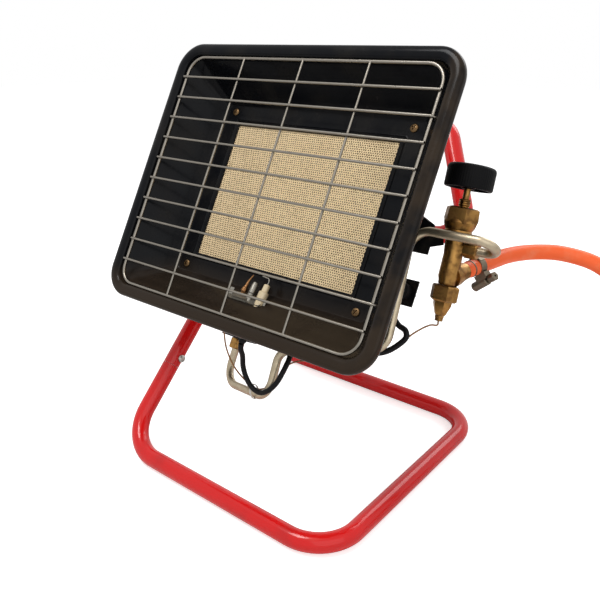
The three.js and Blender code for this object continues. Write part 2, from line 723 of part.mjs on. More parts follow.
// pan-head screw with a cross recess, made along Z with its head on top
function makePlateScrew(sx, sz) {
  const r = PLATE_SCREW_HEAD_D / 2;
  const body = turned([
    [0, -PLATE_SCREW_LENGTH], [PLATE_SCREW_D / 2 - 0.7, -PLATE_SCREW_LENGTH + 0.4],
    [PLATE_SCREW_D / 2, 2 - PLATE_SCREW_LENGTH], [PLATE_SCREW_D / 2, GAP], [r, GAP],
    [r * 0.9, PLATE_SCREW_HEAD * 0.6], [r * 0.5, PLATE_SCREW_HEAD], [0, PLATE_SCREW_HEAD],
  ], 12);
  const slot = PLATE_SCREW_D * 0.75;
  const cross = [[slot, 0.45], [0.45, slot]].map(([a, b]) => (
    block(-a, a, -b, b, PLATE_SCREW_HEAD * 0.45, PLATE_SCREW_HEAD + 1)));
  const place3 = [sx * SCREW_HALF_W, PAN_DEPTH, sz * SCREW_HALF_H];
  return aim(cut(body, ...cross), [0, -1, 0], place3);
}

place(head, 'ceramic_plaque', makePlaque(), plaqueCeramic);
place(head, 'plaque_gasket', makeGasket(), fibre);
place(head, 'burner_housing', makeHousing(), zincSteel);
place(head, 'gas_baffle', makeBaffle(), zincSteel);
[[-1, 1], [1, 1], [-1, -1], [1, -1]].forEach(([sx, sz], i) => {
  place(head, `plate_screw_${i + 1}`, makePlateScrew(sx, sz), brass);
});

// ---------------------------------------------------------------- guard
// The welded guard: a ring, level bars on its front and uprights behind the bars.
function makeGuard() {
  const w = GUARD_HALF_W;
  const h = GUARD_HALF_H;
  const ringPath = new BentPath([
    [0, 0, h], [w, 0, h], [w, 0, -h], [-w, 0, -h], [-w, 0, h], [-1, 0, h],
  ], GUARD_CORNER, 4);
  const ring = bentTube(ringPath, ringR, 6);
  const lap = aim(rod(ringR * 0.98, -3, 3, 6), [1, 0, 0], [0, 0, h]);
  const pieces = [ring, lap];
  for (let i = 0; i < BAR_COUNT; i += 1) {
    const z = barHeight(i);
    if (CLIP_BARS.includes(i)) {
      const half = [[w + 0.5, barBack, z], [w + GUARD_SIDE_PLAY, clipBack, z],
        [w + CLIP_REACH, clipBack, z]];
      const mirrored = half.map(([x, y]) => [-x, y, z]).reverse();
      pieces.push(bentTube(new BentPath([...mirrored, ...half], 2, 2), barR, 6));
    } else {
      pieces.push(aim(rod(barR, -w - ringR, w + ringR, 6), [1, 0, 0], [0, barBack, z]));
    }
  }
  for (let k = 0; k < UPRIGHT_COUNT; k += 1) {
    const x = (k - (UPRIGHT_COUNT - 1) / 2) * UPRIGHT_PITCH;
    pieces.push(aim(rod(barR * 0.95, -h, h, 6), [0, 0, 1], [x, uprightBack, 0]));
  }
  return join(...pieces);
}

place(head, 'safety_guard', makeGuard(), wireSteel);

// ---------------------------------------------------------------- pivot bracket
// A channel on the housing's back. Lips at the ends of its arms lie against the pivot bar.
const lipBack = pivotBack - tubeR - GAP;
const armLow = pivotUp - ARM_LOW;
const armHigh = armLow + ARM_HEIGHT;

function makePivotBracket() {
  const x = ARM_HALF - ARM_SHEET / 2;
  const web = housingBack + GAP + ARM_SHEET / 2;
  const lip = lipBack - ARM_SHEET / 2;
  const line = [[LIP_WIDTH - ARM_HALF, lip], [-x, lip], [-x, web], [x, web], [x, lip],
    [ARM_HALF - LIP_WIDTH, lip]];
  const channel = bentSheet(line, ARM_SHEET, ARM_HEIGHT).translate(0, 0, armLow);
  const bolts = [-1, 1].map((s) => aim(rod(STRAP_BOLT_D / 2 + GAP, -10, 10, 12), [0, 1, 0],
    [s * (ARM_HALF - STRAP_INSET), lip, pivotUp - STRAP_BOLT_DROP]));
  const webHoles = [-1, 1].map((s) => aim(rod(BRACKET_SCREW_D / 2 + GAP, -9, 9, 12), [0, 1, 0],
    [s * ARM_HALF * 0.5, web, (armLow + armHigh) / 2]));
  return cut(channel, ...bolts, ...webHoles);
}

// The strap hooks over the lip's top, goes round the pivot bar and is bolted to the lip below it.
function makeStrap(side) {
  const r = tubeR / Math.cos(Math.PI / SECTION_SIDES) + GAP + STRAP_SHEET / 2;
  const back = lipBack + GAP + STRAP_SHEET / 2;
  const line = [];
  line.push([back, pivotUp - tubeR - STRAP_TAIL], [back, pivotUp - r - 1]);
  const from = -115;
  const to = 90;
  const steps = 18;
  for (let k = 0; k <= steps; k += 1) {
    const a = rad(from + ((to - from) * k) / steps);
    line.push([pivotBack + r * Math.cos(a), pivotUp + r * Math.sin(a)]);
  }
  const hookFront = lipBack - ARM_SHEET - GAP - STRAP_SHEET / 2;
  const top = Math.max(pivotUp + r, armHigh + GAP + STRAP_SHEET / 2);
  line.push([lipBack + 2, top], [hookFront, top], [hookFront, top - STRAP_HOOK]);
  const strap = alongX(bentSheet(line, STRAP_SHEET, STRAP_WIDTH));
  const middle = side * (ARM_HALF - STRAP_INSET);
  strap.translate(middle - STRAP_WIDTH / 2, 0, 0);
  return cut(strap, aim(rod(STRAP_BOLT_D / 2 + GAP, -10, 10, 12), [0, 1, 0],
    [middle, back, pivotUp - STRAP_BOLT_DROP]));
}

function makeStrapBolt(side) {
  const seat = lipBack + GAP + STRAP_SHEET + GAP;
  const front = lipBack - ARM_SHEET - GAP;
  const shank = rod(STRAP_BOLT_D / 2, -(seat - front + 7), 0.5, 12);
  return aim(join(shank, hexagon(8, 0, 3.5, false, true)), [0, 1, 0],
    [side * (ARM_HALF - STRAP_INSET), seat, pivotUp - STRAP_BOLT_DROP]);
}

function makeStrapNut(side) {
  const front = lipBack - ARM_SHEET - GAP;
  const nut = cut(hexagon(8, 0, 4.5), rod(STRAP_BOLT_D / 2 + GAP / 2, -1, 6, 12));
  return aim(nut, [0, -1, 0], [side * (ARM_HALF - STRAP_INSET), front, pivotUp - STRAP_BOLT_DROP]);
}

place(head, 'pivot_bracket', makePivotBracket(), blackPaint);
[['left', -1], ['right', 1]].forEach(([word, side]) => {
  place(head, `pivot_strap_${word}`, makeStrap(side), zincSteel);
  place(head, `strap_bolt_${word}`, makeStrapBolt(side), zincSteel);
  place(head, `strap_nut_${word}`, makeStrapNut(side), zincSteel);
});

// ---------------------------------------------------------------- valve
// Valve pieces are made along Z, downwards from the top of the knob.
function makeKnob() {
  const loop = (radius, z, ribbed) => Array.from({ length: KNOB_RIBS * 2 }, (_, i) => {
    const r = radius - (ribbed && i % 2 ? KNOB_RIB : 0);
    const a = (Math.PI * i) / KNOB_RIBS;
    return [r * Math.cos(a), r * Math.sin(a), z];
  });
  const r = KNOB_D / 2;
  const low = -KNOB_HEIGHT;
  const top = rod(r * 0.35, -2, -0.9, 24);
  const grip = loft([
    loop(r - 3.2, 0, false), loop(r - 1, -1, false), loop(r, -2.6, true),
    loop(r, low + 1, true), loop(r - 1.4, low, false),
  ], false);
  const dimple = rod(r * 0.35, -0.9, 1, 24);
  const hollow = turnedRing([
    [STEM_D, low - 1], [r - KNOB_WALL, low - 1], [r - KNOB_WALL, -KNOB_WALL - 0.5],
    [STEM_D, -KNOB_WALL - 0.5],
  ], 24);
  return cut(join(grip, top), dimple, hollow, rod(STEM_D / 2 + GAP, low - 1, -KNOB_HEIGHT / 2, 16));
}

function makeStem() {
  return turned([
    [0, -STEM_BOTTOM], [STEM_D / 2 - 0.6, -STEM_BOTTOM], [STEM_D / 2, 0.6 - STEM_BOTTOM],
    [STEM_D / 2, -KNOB_HEIGHT / 2 - 1], [STEM_D / 2 - 0.6, -KNOB_HEIGHT / 2 - GAP],
    [0, -KNOB_HEIGHT / 2 - GAP],
  ], 16);
}

function makeGland() {
  const r = GLAND_D / 2;
  const profile = [[STEM_D / 2 + GAP, -GLAND_TOP]];
  const turns = 3;
  const pitch = (BONNET_TOP - GLAND_TOP) / (turns + 0.5);
  profile.push([r - 0.6, -GLAND_TOP]);
  for (let i = 0; i < turns; i += 1) {
    const z = -GLAND_TOP - pitch * (i + 0.25);
    profile.push([r, z], [r, z - pitch * 0.35], [r - 0.7, z - pitch * 0.6]);
  }
  profile.push([r - 0.7, -BONNET_TOP - 5], [STEM_D / 2 + GAP, -BONNET_TOP - 5]);
  return turnedRing(profile.reverse(), 16);
}

function makeBonnet() {
  const hexLow = -BONNET_TOP - BONNET_HEX;
  const seat = GAP - PLATE_LEVEL + BRACKET_SHEET;
  const skirt = turned([
    [0, seat], [NECK_D / 2 + 3, seat], [NECK_D / 2 + 3.4, seat + 2], [BONNET_FLATS / 2 - 1, hexLow - 3],
    [BONNET_FLATS / 2, hexLow + 0.1], [BONNET_FLATS / 2 - 1, hexLow + 2], [0, hexLow + 2],
  ], 24);
  const bore = turned([
    [0, seat - 1], [NECK_D / 2 + GAP, seat - 1], [NECK_D / 2 + GAP, -PLATE_LEVEL + 12],
    [STEM_D / 2 + GAP, -PLATE_LEVEL + 14], [STEM_D / 2 + GAP, -BONNET_TOP - 7],
    [GLAND_D / 2, -BONNET_TOP - 5.3], [GLAND_D / 2, 1 - BONNET_TOP], [0, 1 - BONNET_TOP],
  ], 20);
  return cut(join(hexagon(BONNET_FLATS, hexLow, -BONNET_TOP, false, true), skirt), bore);
}

const outletWay = [1, 0, 0];
const inletWay = [
  Math.sin(rad(INLET_SIDE)) * Math.cos(rad(INLET_RISE)),
  Math.cos(rad(INLET_SIDE)) * Math.cos(rad(INLET_RISE)), Math.sin(rad(INLET_RISE)),
];

function makeValveBody() {
  const barrel = turned([
    [0, -BODY_BOTTOM + GAP], [BODY_D / 2 - 0.6, -BODY_BOTTOM + GAP], [BODY_D / 2, 2 - BODY_BOTTOM],
    [BODY_D / 2, -INLET_LEVEL - 4], [BODY_D / 2 + 1.2, -INLET_LEVEL], [BODY_D / 2 + 0.6, -OUTLET_LEVEL - 7],
    [BODY_D / 2 + 2, -PLATE_LEVEL - GAP - 2], [BODY_D / 2 + 2, -PLATE_LEVEL - GAP],
    [NECK_D / 2, -PLATE_LEVEL - GAP], [NECK_D / 2, -PLATE_LEVEL + 10], [0, -PLATE_LEVEL + 10],
  ], 18);
  const outlet = aim(turned([
    [0, 0], [6.4, 0], [5.6, OUTLET_REACH - 2], [5, OUTLET_REACH], [5, OUTLET_REACH + 6],
    [0, OUTLET_REACH + 6],
  ], 16), outletWay, [0, 0, -OUTLET_LEVEL]);
  const r = INLET_D / 2;
  const inlet = aim(turned([
    [0, 0], [r + 0.6, 0], [r, INLET_REACH - 6], [r - 1.2, INLET_REACH - 1], [r - 2.2, INLET_REACH],
    [0, INLET_REACH],
  ], 18), inletWay, [0, 0, -INLET_LEVEL]);
  const bore = rod(BODY_BORE / 2, -BODY_BOTTOM - 1, -PLATE_LEVEL + 11, 16);
  return cut(join(barrel, outlet, inlet), bore);
}

function makeMagnetHousing() {
  const hexLow = -BODY_BOTTOM - MAGNET_HEX;
  const low = hexLow - MAGNET_CONE;
  const cone = turned([
    [0, low], [4.4, low], [4.4, low + 1.5], [7.4, hexLow - 2.2], [8, hexLow - 1], [8, hexLow + 1],
    [0, hexLow + 1],
  ], 18);
  return join(hexagon(MAGNET_FLATS, hexLow, -BODY_BOTTOM), cone);
}

function makeLeadNut() {
  const top = -BODY_BOTTOM - MAGNET_HEX - MAGNET_CONE - GAP;
  const nut = join(hexagon(LEAD_NUT_D * 0.85, top - LEAD_NUT, top - 1, true, false),
    rod(LEAD_NUT_D / 2, top - 2, top, 12));
  return nut;
}

function makePushPin() {
  return rod(PIN_D / 2, PRESS_TRAVEL + 2 - BODY_BOTTOM, -STEM_BOTTOM - GAP, 10);
}

function makeOutletNut() {
  const nut = hexagon(OUTLET_FLATS, 0, OUTLET_NUT);
  const wide = rod(5 + GAP, -1, 6.5 + GAP, 16);
  const narrow = rod(PIPE_D / 2 + GAP, 0, OUTLET_NUT + 1, 16);
  return aim(cut(nut, wide, narrow), outletWay, [OUTLET_REACH + GAP, 0, -OUTLET_LEVEL]);
}

place(valve, 'valve_knob', makeKnob(), blackPlastic);
place(valve, 'valve_stem', makeStem(), zincSteel);
place(valve, 'gland_nut', makeGland(), brass);
place(valve, 'valve_bonnet', makeBonnet(), brass);
place(valve, 'valve_body', makeValveBody(), brass);
place(valve, 'push_pin', makePushPin(), zincSteel);
place(valve, 'magnet_housing', makeMagnetHousing(), brass);
place(valve, 'thermocouple_nut', makeLeadNut(), brass);
place(valve, 'outlet_nut', makeOutletNut(), brass);

// The plate under the bonnet carries the valve; its flange is screwed to the housing's side.
function makeValveBracket() {
  const inner = chamberHalfW + GAP - VALVE_X;
  const t = BRACKET_SHEET;
  const z = -PLATE_LEVEL + t / 2;
  const reach = NECK_D / 2 + 9;
  const line = [[inner + t / 2, z - BRACKET_FLANGE], [inner + t / 2, z], [reach, z]];
  const half = BRACKET_DEPTH / 2;
  const sheet = bentSheet(line, t, BRACKET_DEPTH).rotateX(Math.PI / 2).translate(0, half, 0);
  const nose = rod(NECK_D / 2 + 12, z - 40, z + 5, 24);
  const stem = block(inner - 1, 0, -half - 1, half + 1, z - 40, z + 5);
  const seat = block(-VALVE_X, seatHalfW + GAP - VALVE_X, -VALVE_TOP_BACK,
    ledgeBack + HOUSING_SHEET + GAP - VALVE_TOP_BACK, -VALVE_TOP_UP - 60, 40 - VALVE_TOP_UP)
    .rotateX(-rad(VALVE_LEAN));
  const outline = cut(join(nose, stem), seat);
  const holes = [-1, 1].map((s) => aim(rod(BRACKET_SCREW_D / 2 + GAP, -6, 8, 12), [1, 0, 0],
    [inner, s * half * 0.55, z - BRACKET_FLANGE * 0.6]));
  return cut(intersect(sheet, outline), rod(NECK_D / 2 + GAP, z - 5, z + 5, 20), ...holes);
}

place(valve, 'valve_bracket', makeValveBracket(), blackPaint);

// ---------------------------------------------------------------- mixing tube and injector
function makeMixer() {
  const top = -(plaqueHalfH + housingIn - LEDGE) + 8;
  const out = (d) => d / 2;
  const inside = (d) => d / 2 - MIXER_WALL;
  const tube = turnedRing([
    [out(MIXER_MOUTH_D), -MIXER_LOW], [out(MIXER_MOUTH_D) - 1, 3 - MIXER_LOW],
    [out(MIXER_THROAT) + 3, 12 - MIXER_LOW], [out(MIXER_THROAT) + MIXER_WALL, 20 - MIXER_LOW],
    [out(MIXER_D), 38 - MIXER_LOW], [out(MIXER_D), top], [inside(MIXER_D), top],
    [inside(MIXER_D), 38 - MIXER_LOW], [out(MIXER_THROAT), 20 - MIXER_LOW],
    [out(MIXER_THROAT) + 1.5, 12 - MIXER_LOW], [inside(MIXER_MOUTH_D) - 1.2, 2 - MIXER_LOW],
    [inside(MIXER_MOUTH_D), -MIXER_LOW],
  ], 20);
  return tube.translate(MIXER_X, MIXER_BACK, 0);
}

function makeHolder() {
  const x = MIXER_MOUTH_D / 2 + GAP + HOLDER_SHEET / 2;
  const low = -HOLDER_LOW + HOLDER_SHEET / 2;
  const line = [[-x, 5 - MIXER_LOW], [-x, low], [x, low], [x, 5 - MIXER_LOW]];
  const strap = bentSheet(line, HOLDER_SHEET, HOLDER_WIDTH).rotateX(Math.PI / 2);
  strap.translate(0, HOLDER_WIDTH / 2, 0);
  const hole = rod(INJECTOR_D / 2 + GAP, low - 4, low + 4, 16);
  return cut(strap, hole).translate(MIXER_X, MIXER_BACK, 0);
}

function makeInjector() {
  const seat = HOLDER_SHEET + GAP - HOLDER_LOW;
  const hex = hexagon(INJECTOR_FLATS, seat, seat + 4.5);
  const nozzle = turned([
    [0, seat + 4], [3.6, seat + 4], [3.6, seat + 9], [1.6, seat + 12], [0, seat + 12],
  ], 16);
  const shank = rod(INJECTOR_D / 2, -HOLDER_LOW - 6, seat + 1, 16);
  const bore = rod(0.9, -HOLDER_LOW - 7, seat + 13, 8);
  return cut(join(hex, nozzle, shank), bore).translate(MIXER_X, MIXER_BACK, 0);
}

function makePipeNut() {
  const top = -HOLDER_LOW - GAP;
  const nut = hexagon(PIPE_NUT_FLATS, top - PIPE_NUT, top);
  const wide = rod(INJECTOR_D / 2 + GAP, top - 6.5, top + 1, 16);
  const narrow = rod(PIPE_D / 2 + GAP, top - PIPE_NUT - 1, top, 16);
  return cut(nut, wide, narrow).translate(MIXER_X, MIXER_BACK, 0);
}

place(head, 'mixing_tube', makeMixer(), zincSteel);
place(head, 'injector_holder', makeHolder(), blackPaint);
place(head, 'gas_injector', makeInjector(), brass);
place(head, 'pipe_nut', makePipeNut(), brass);

// ---------------------------------------------------------------- gas pipe
const PIPE_BACK = 50;            // run of the pipe behind the guard plane
const pipeStart = valveToHead([OUTLET_REACH + 7 + 2 * GAP, 0, -OUTLET_LEVEL]);
const pipeEnd = [MIXER_X, MIXER_BACK, -HOLDER_LOW - 7];
const bundleEntry = [150, PIPE_BACK, -108];
const bundleCorner = [38, PIPE_BACK + 2, -144];
const loopRight = [36, PIPE_BACK + 6, -196];
const loopLeft = [MIXER_X, MIXER_BACK, -196];

function makeGasPipe() {
  const turnX = 210;
  const crossing = pipeStart[1] - 2 * PIPE_TURN;
  const path = new BentPath([
    pipeStart, [turnX, pipeStart[1], pipeStart[2]], [turnX - 1, crossing, pipeStart[2] + 4],
    [140, crossing, pipeStart[2] + 4], bundleEntry, bundleCorner, loopRight, loopLeft, pipeEnd,
  ], [PIPE_TURN, PIPE_TURN, PIPE_BEND, PIPE_BEND, PIPE_BEND, 22, 22], 5);
  return bentTube(path, PIPE_D / 2, 8);
}

place(head, 'gas_pipe', makeGasPipe(), aluminium);

// ---------------------------------------------------------------- pilot assembly
const sparkTop = 14;             // spark electrode's ceramic above the wall

function makePilotBracket() {
  const x0 = PROBE_X - 18;
  const x1 = SPARK_X + 13;
  const t = PILOT_SHEET;
  const slopeY = PAN_DEPTH - 3;
  const length = Math.hypot(slopeY, wallReach);
  // unit steps along the wall towards the rim and square to the wall into the pan
  const along = [-slopeY / length, -wallReach / length];
  const off = [-wallReach / length, slopeY / length];
  const at = (s, h) => [
    pilotWallY + along[0] * s + off[0] * h, pilotWallZ + along[1] * s + off[1] * h];
  const foot = GAP + t / 2;
  const knee = at(-9, foot);
  const line = [at(8, foot), knee, [knee[0] - 2, knee[1] + 10]];
  const sheet = alongX(bentSheet(line, t, x1 - x0)).translate(x0, 0, 0);
  return cut(sheet, pilotHole(PROBE_X, PROBE_D), pilotHole(SPARK_X, SPARK_D));
}

function makeProbe() {
  const r = PROBE_D / 2;
  const shape = turned([
    [0, -10], [r * 0.6, -10], [r * 0.6, -6], [r, -6], [r, 14], [r * 0.75, 15], [r * 0.75, 23],
    [r * 0.3, 24.5], [0, 24.5],
  ], 14);
  return aim(shape, pilotWay, pilotPlace(PROBE_X, 0));
}

function makeSpark() {
  const r = SPARK_D / 2;
  const shape = turned([
    [0, -28], [r * 0.62, -28], [r * 0.62, -8], [r, -8], [r, 5], [r * 0.8, 6], [r * 0.8, sparkTop - 1],
    [r * 0.55, sparkTop], [0, sparkTop],
  ], 16);
  const bore = rod(SPARK_PIN_D / 2 + GAP, sparkTop - 8, sparkTop + 1, 10);
  return aim(cut(shape, bore), pilotWay, pilotPlace(SPARK_X, 0));
}

function makeSparkPin() {
  const foot = pilotPlace(SPARK_X, sparkTop - 7.5);
  const top = pilotPlace(SPARK_X, sparkTop + 6);
  const tip = [SPARK_X - 9, top[1] + 3, top[2] + 3];
  return bentTube(new BentPath([foot, top, tip], 2.5, 3), SPARK_PIN_D / 2, 8);
}

function makeBoot() {
  const r = BOOT_D / 2;
  const shape = cut(turned([
    [0, -26 - BOOT_LENGTH], [r * 0.7, -26 - BOOT_LENGTH], [r, -23 - BOOT_LENGTH], [r, -14],
    [r * 0.8, -13], [0, -13],
  ], 14), rod(SPARK_D * 0.31 + GAP, -28 - GAP, -12, 14));
  return aim(shape, pilotWay, pilotPlace(SPARK_X, 0));
}

place(head, 'pilot_bracket', makePilotBracket(), zincSteel);
place(head, 'thermocouple_probe', makeProbe(), copper);
place(head, 'spark_electrode', makeSpark(), whiteCeramic);
place(head, 'spark_pin', makeSparkPin(), zincSteel);
place(head, 'electrode_boot', makeBoot(), blackRubber);

// ---------------------------------------------------------------- igniter
// Push-button spark generator beside the mixing chamber, worked from behind.
const igniterX = chamberHalfW + GAP + IGNITER_OUT;
const igniterFace = housingBack - 2;
const igniterThreadR = IGNITER_THREAD * 0.78;

function makeIgniterBracket() {
  const t = IGNITER_SHEET;
  const inner = chamberHalfW + GAP + t / 2;
  const outer = igniterX + IGNITER_D * 0.75;
  const line = [[inner, ledgeBack + HOUSING_SHEET + 4], [inner, igniterFace - t / 2],
    [outer, igniterFace - t / 2]];
  const width = IGNITER_D * 1.6;
  const sheet = bentSheet(line, t, width).translate(0, 0, -IGNITER_DROP - width / 2);
  return cut(sheet, igniterPiece(rod(igniterThreadR + GAP, -6, 6, 18)));
}

function igniterPiece(geometry) {
  return aim(geometry, [0, 1, 0], [igniterX, igniterFace, -IGNITER_DROP]);
}

function makeIgniterBody() {
  const r = IGNITER_D / 2;
  const seat = -IGNITER_SHEET - GAP;
  const shape = turned([
    [0, -IGNITER_LENGTH - 6], [2.2, -IGNITER_LENGTH - 6], [2.2, -IGNITER_LENGTH],
    [r * 0.7, -IGNITER_LENGTH], [r * 0.8, -12], [r, -11], [r, seat], [igniterThreadR, seat],
    [igniterThreadR, IGNITER_THREAD - 2], [0, IGNITER_THREAD - 2],
  ], 20);
  return igniterPiece(cut(shape, rod(BUTTON_D / 2 + GAP, -BUTTON_TRAVEL - 2, IGNITER_THREAD, 16)));
}

function makeIgniterNut() {
  const ring = hexagon(IGNITER_D * 1.1, GAP, 4);
  return igniterPiece(cut(ring, rod(igniterThreadR + GAP, -1, 6, 18)));
}

function makeButton() {
  const r = BUTTON_D / 2;
  const top = IGNITER_THREAD - 2 + BUTTON_PROUD;
  return igniterPiece(turned([
    [0, -1], [r, -1], [r, top - 1.2], [r - 1.2, top], [r * 0.6, top - 0.6], [0, top - 0.8],
  ], 20));
}

place(head, 'igniter_bracket', makeIgniterBracket(), zincSteel);
place(head, 'igniter_body', makeIgniterBody(), blackPlastic);
place(head, 'igniter_nut', makeIgniterNut(), blackPlastic);
place(head, 'igniter_button', makeButton(), blackPlastic);

// ---------------------------------------------------------------- leads held by the head
const leadNutEnd = valveToHead([0, 0,
  -BODY_BOTTOM - MAGNET_HEX - MAGNET_CONE - LEAD_NUT - 2 * GAP]);
const probeEnd = pilotPlace(PROBE_X, -10 - GAP);
const bootEnd = pilotPlace(SPARK_X, -26 - BOOT_LENGTH - GAP);
const igniterEnd = [igniterX, igniterFace - IGNITER_LENGTH - 6 - GAP, -IGNITER_DROP];

function makeCapillary() {
  const down = valveToHead([0, 0,
    -BODY_BOTTOM - MAGNET_HEX - MAGNET_CONE - LEAD_NUT - 4]);
  return lead([
    leadNutEnd, down, [164, 84, -77], [156, 73, -89], [149, 68, -102], [131, 63, -118],
    [110, 60, -129], [80, 63, -138], [56, 65, -145], [46, 65, -151], [41, 63.5, -161],
    [37, 64, -176], [28, 66, -187], [20, 64.5, -190.4], [6, 58, -185], [-7, 50, -175],
    [-17, 44, -160], [-22, 40, -146], [-20, 33, -136], pilotPlace(PROBE_X, -18), probeEnd,
  ], CAPILLARY_D / 2, 5, 54);
}

function makeIgnitionLead() {
  return lead([
    igniterEnd, [igniterX, igniterEnd[1] - 6, -IGNITER_DROP], [127, 57, -65],
    [138, 58, -78], [147, 59, -86], [155, 59, -89], [157.5, 59, -94], [153, 59, -102],
    [142, 59, -112], [122, 59.5, -119], [92, 60, -128], [64, 60, -137], [48, 58.5, -144],
    [44.6, 56, -152], [44.4, 54, -164], [43.2, 51, -176], [37, 51, -187],
    [29, 51.5, -191], [20, 56.3, -189.8], [11.5, 52.5, -186], [8.5, 43, -172], [12, 29, -161],
    pilotPlace(SPARK_X, -48),
    bootEnd,
  ], LEAD_D / 2, 6, 54);
}

// a plastic tie round the pipe, the capillary and the lead at the loop's lowest point
function makeTie() {
  const centre = [20, 59.6, -192.7];
  const inner = 7.8;
  const sides = 16;
  const band = turnedRing([
    [inner, -TIE_WIDTH / 2], [inner + 1.1, -TIE_WIDTH / 2], [inner + 1.1, TIE_WIDTH / 2],
    [inner, TIE_WIDTH / 2],
  ], sides);
  const knot = block(inner + 0.6, inner + 4.4, -2.6, 2.6, -2.4, 2.4);
  return aim(join(band, knot), [1, 0, 0], centre);
}

place(head, 'thermocouple_lead', makeCapillary(), copper);
place(head, 'ignition_lead', makeIgnitionLead(), blackRubber);
place(head, 'cable_tie', makeTie(), whitePlastic);

// ---------------------------------------------------------------- hose
const hoseR = HOSE_D / 2;

function alongInlet(distance) {
  return inletWay.map((c, i) => c * distance - (i === 2 ? INLET_LEVEL : 0));
}

// stretch in the clamp, which stays in line with the valve's inlet
function makeHoseEnd() {
  return aim(rod(hoseR, 0, HOSE_END_LENGTH - GAP, 12), inletWay, alongInlet(INLET_REACH + GAP));
}

// The clamp's own frame: Z along the hose, X along its screw, the screw below the hose.
function clampPiece(geometry) {
  const z = new THREE.Vector3(...inletWay);
  const level = new THREE.Vector3(1, 0, 0).addScaledVector(z, -z.x).normalize();
  const x = level.applyAxisAngle(z, rad(CLAMP_TURN));
  const y = z.clone().cross(x);
  const frame = new THREE.Matrix4().makeBasis(x, y, z);
  frame.setPosition(...alongInlet(INLET_REACH + GAP + CLAMP_PLACE));
  return geometry.applyMatrix4(frame);
}

const clampIn = hoseR + GAP;
const clampOut = clampIn + CLAMP_SHEET;
const clampScrewDrop = clampOut + CLAMP_SCREW_D / 2 + 0.6;

function makeClamp() {
  const half = CLAMP_WIDTH / 2;
  const band = turnedRing([
    [clampIn, -half], [clampOut, -half], [clampOut, half], [clampIn, half],
  ], 20);
  const saddleHalf = CLAMP_SCREW_LENGTH * 0.27;
  const saddle = block(-saddleHalf, saddleHalf, -clampScrewDrop - CLAMP_SCREW_D * 0.62, -clampIn - 0.2,
    -half - 0.6, half + 0.6);
  const bore = aim(rod(CLAMP_SCREW_D / 2 + GAP, -CLAMP_SCREW_LENGTH, CLAMP_SCREW_LENGTH, 16),
    [1, 0, 0], [0, -clampScrewDrop, 0]);
  const inside = rod(clampIn, -half - 2, half + 2, 20);
  return clampPiece(cut(join(band, saddle), bore, inside));
}

function makeClampScrew() {
  const r = CLAMP_SCREW_D / 2;
  const half = CLAMP_SCREW_LENGTH / 2;
  const shape = join(rod(r, -half, half - 4, 16), hexagon(7, half - 5, half, false, true));
  const slot = block(-4, 4, -0.6, 0.6, half - 1.6, half + 1);
  return clampPiece(aim(cut(shape, slot), [1, 0, 0], [0, -clampScrewDrop, 0]));
}

place(valve, 'gas_hose_end', makeHoseEnd(), hoseRubber);
place(valve, 'hose_clamp', makeClamp(), zincSteel);
place(valve, 'hose_clamp_screw', makeClampScrew(), zincSteel);

// The hose falls in a free curve to the floor and lies there in a coil of two turns, the first
// on top of the second, which steps out round itself.
function share(value, [from, to]) {
  const t = Math.min(Math.max((value - from) / (to - from), 0), 1);
  return t * t * (3 - 2 * t);
}

function coilPoint(sweep) {
  const radius = COIL_RADIUS + COIL_PITCH * share(sweep, COIL_WIDEN);
  const lift = UNION_FLATS / 2 + GAP - hoseR;
  const z = hoseR + (COIL_PITCH - 0.4) * (1 - share(sweep, COIL_DROP))
    + lift * share(sweep, [COIL_SWEEP - 60, COIL_SWEEP]);
  const a = rad(COIL_START + sweep);
  return new THREE.Vector3(COIL_X + radius * Math.cos(a), COIL_Y + radius * Math.sin(a), z);
}

function coilWay(sweep) {
  return coilPoint(sweep + 0.5).sub(coilPoint(sweep - 0.5)).normalize();
}

class CoilPath extends THREE.Curve {
  constructor() {
    super();
    this.steps = Math.round((COIL_SWEEP / 360) * COIL_STEPS);
    const last = coilPoint(COIL_SWEEP);
    this.stations = [coilPoint(0).addScaledVector(coilWay(0), -HOSE_D)];
    for (let k = 0; k <= this.steps; k += 1) {
      this.stations.push(coilPoint((COIL_SWEEP * k) / this.steps));
    }
    this.stations.push(last.addScaledVector(coilWay(COIL_SWEEP), FERRULE_LENGTH + 4));
    this.steps += 2;
  }

  getPointAt(u) {
    return this.stations[Math.round(u * this.steps)].clone();
  }

  getTangentAt(u) {
    const k = Math.round(u * this.steps);
    if (k < 2) return coilWay(0);
    if (k > this.steps - 2) return coilWay(COIL_SWEEP);
    return coilWay((COIL_SWEEP * (k - 1)) / (this.steps - 2));
  }
}

const coilPath = new CoilPath();

// least distance between the coil's turns, surface to surface
function coilGap() {
  let least = Infinity;
  for (let a = 0; a < COIL_SWEEP - 180; a += 3) {
    for (let b = a + 180; b <= COIL_SWEEP; b += 3) {
      least = Math.min(least, coilPoint(a).distanceTo(coilPoint(b)));
    }
  }
  return least - HOSE_D;
}

console.log(`least gap between the coil's turns: ${coilGap().toFixed(2)} mm`);

function makeCoil() {
  return bentTube(coilPath, hoseR * Math.cos(Math.PI / 6), 6);
}

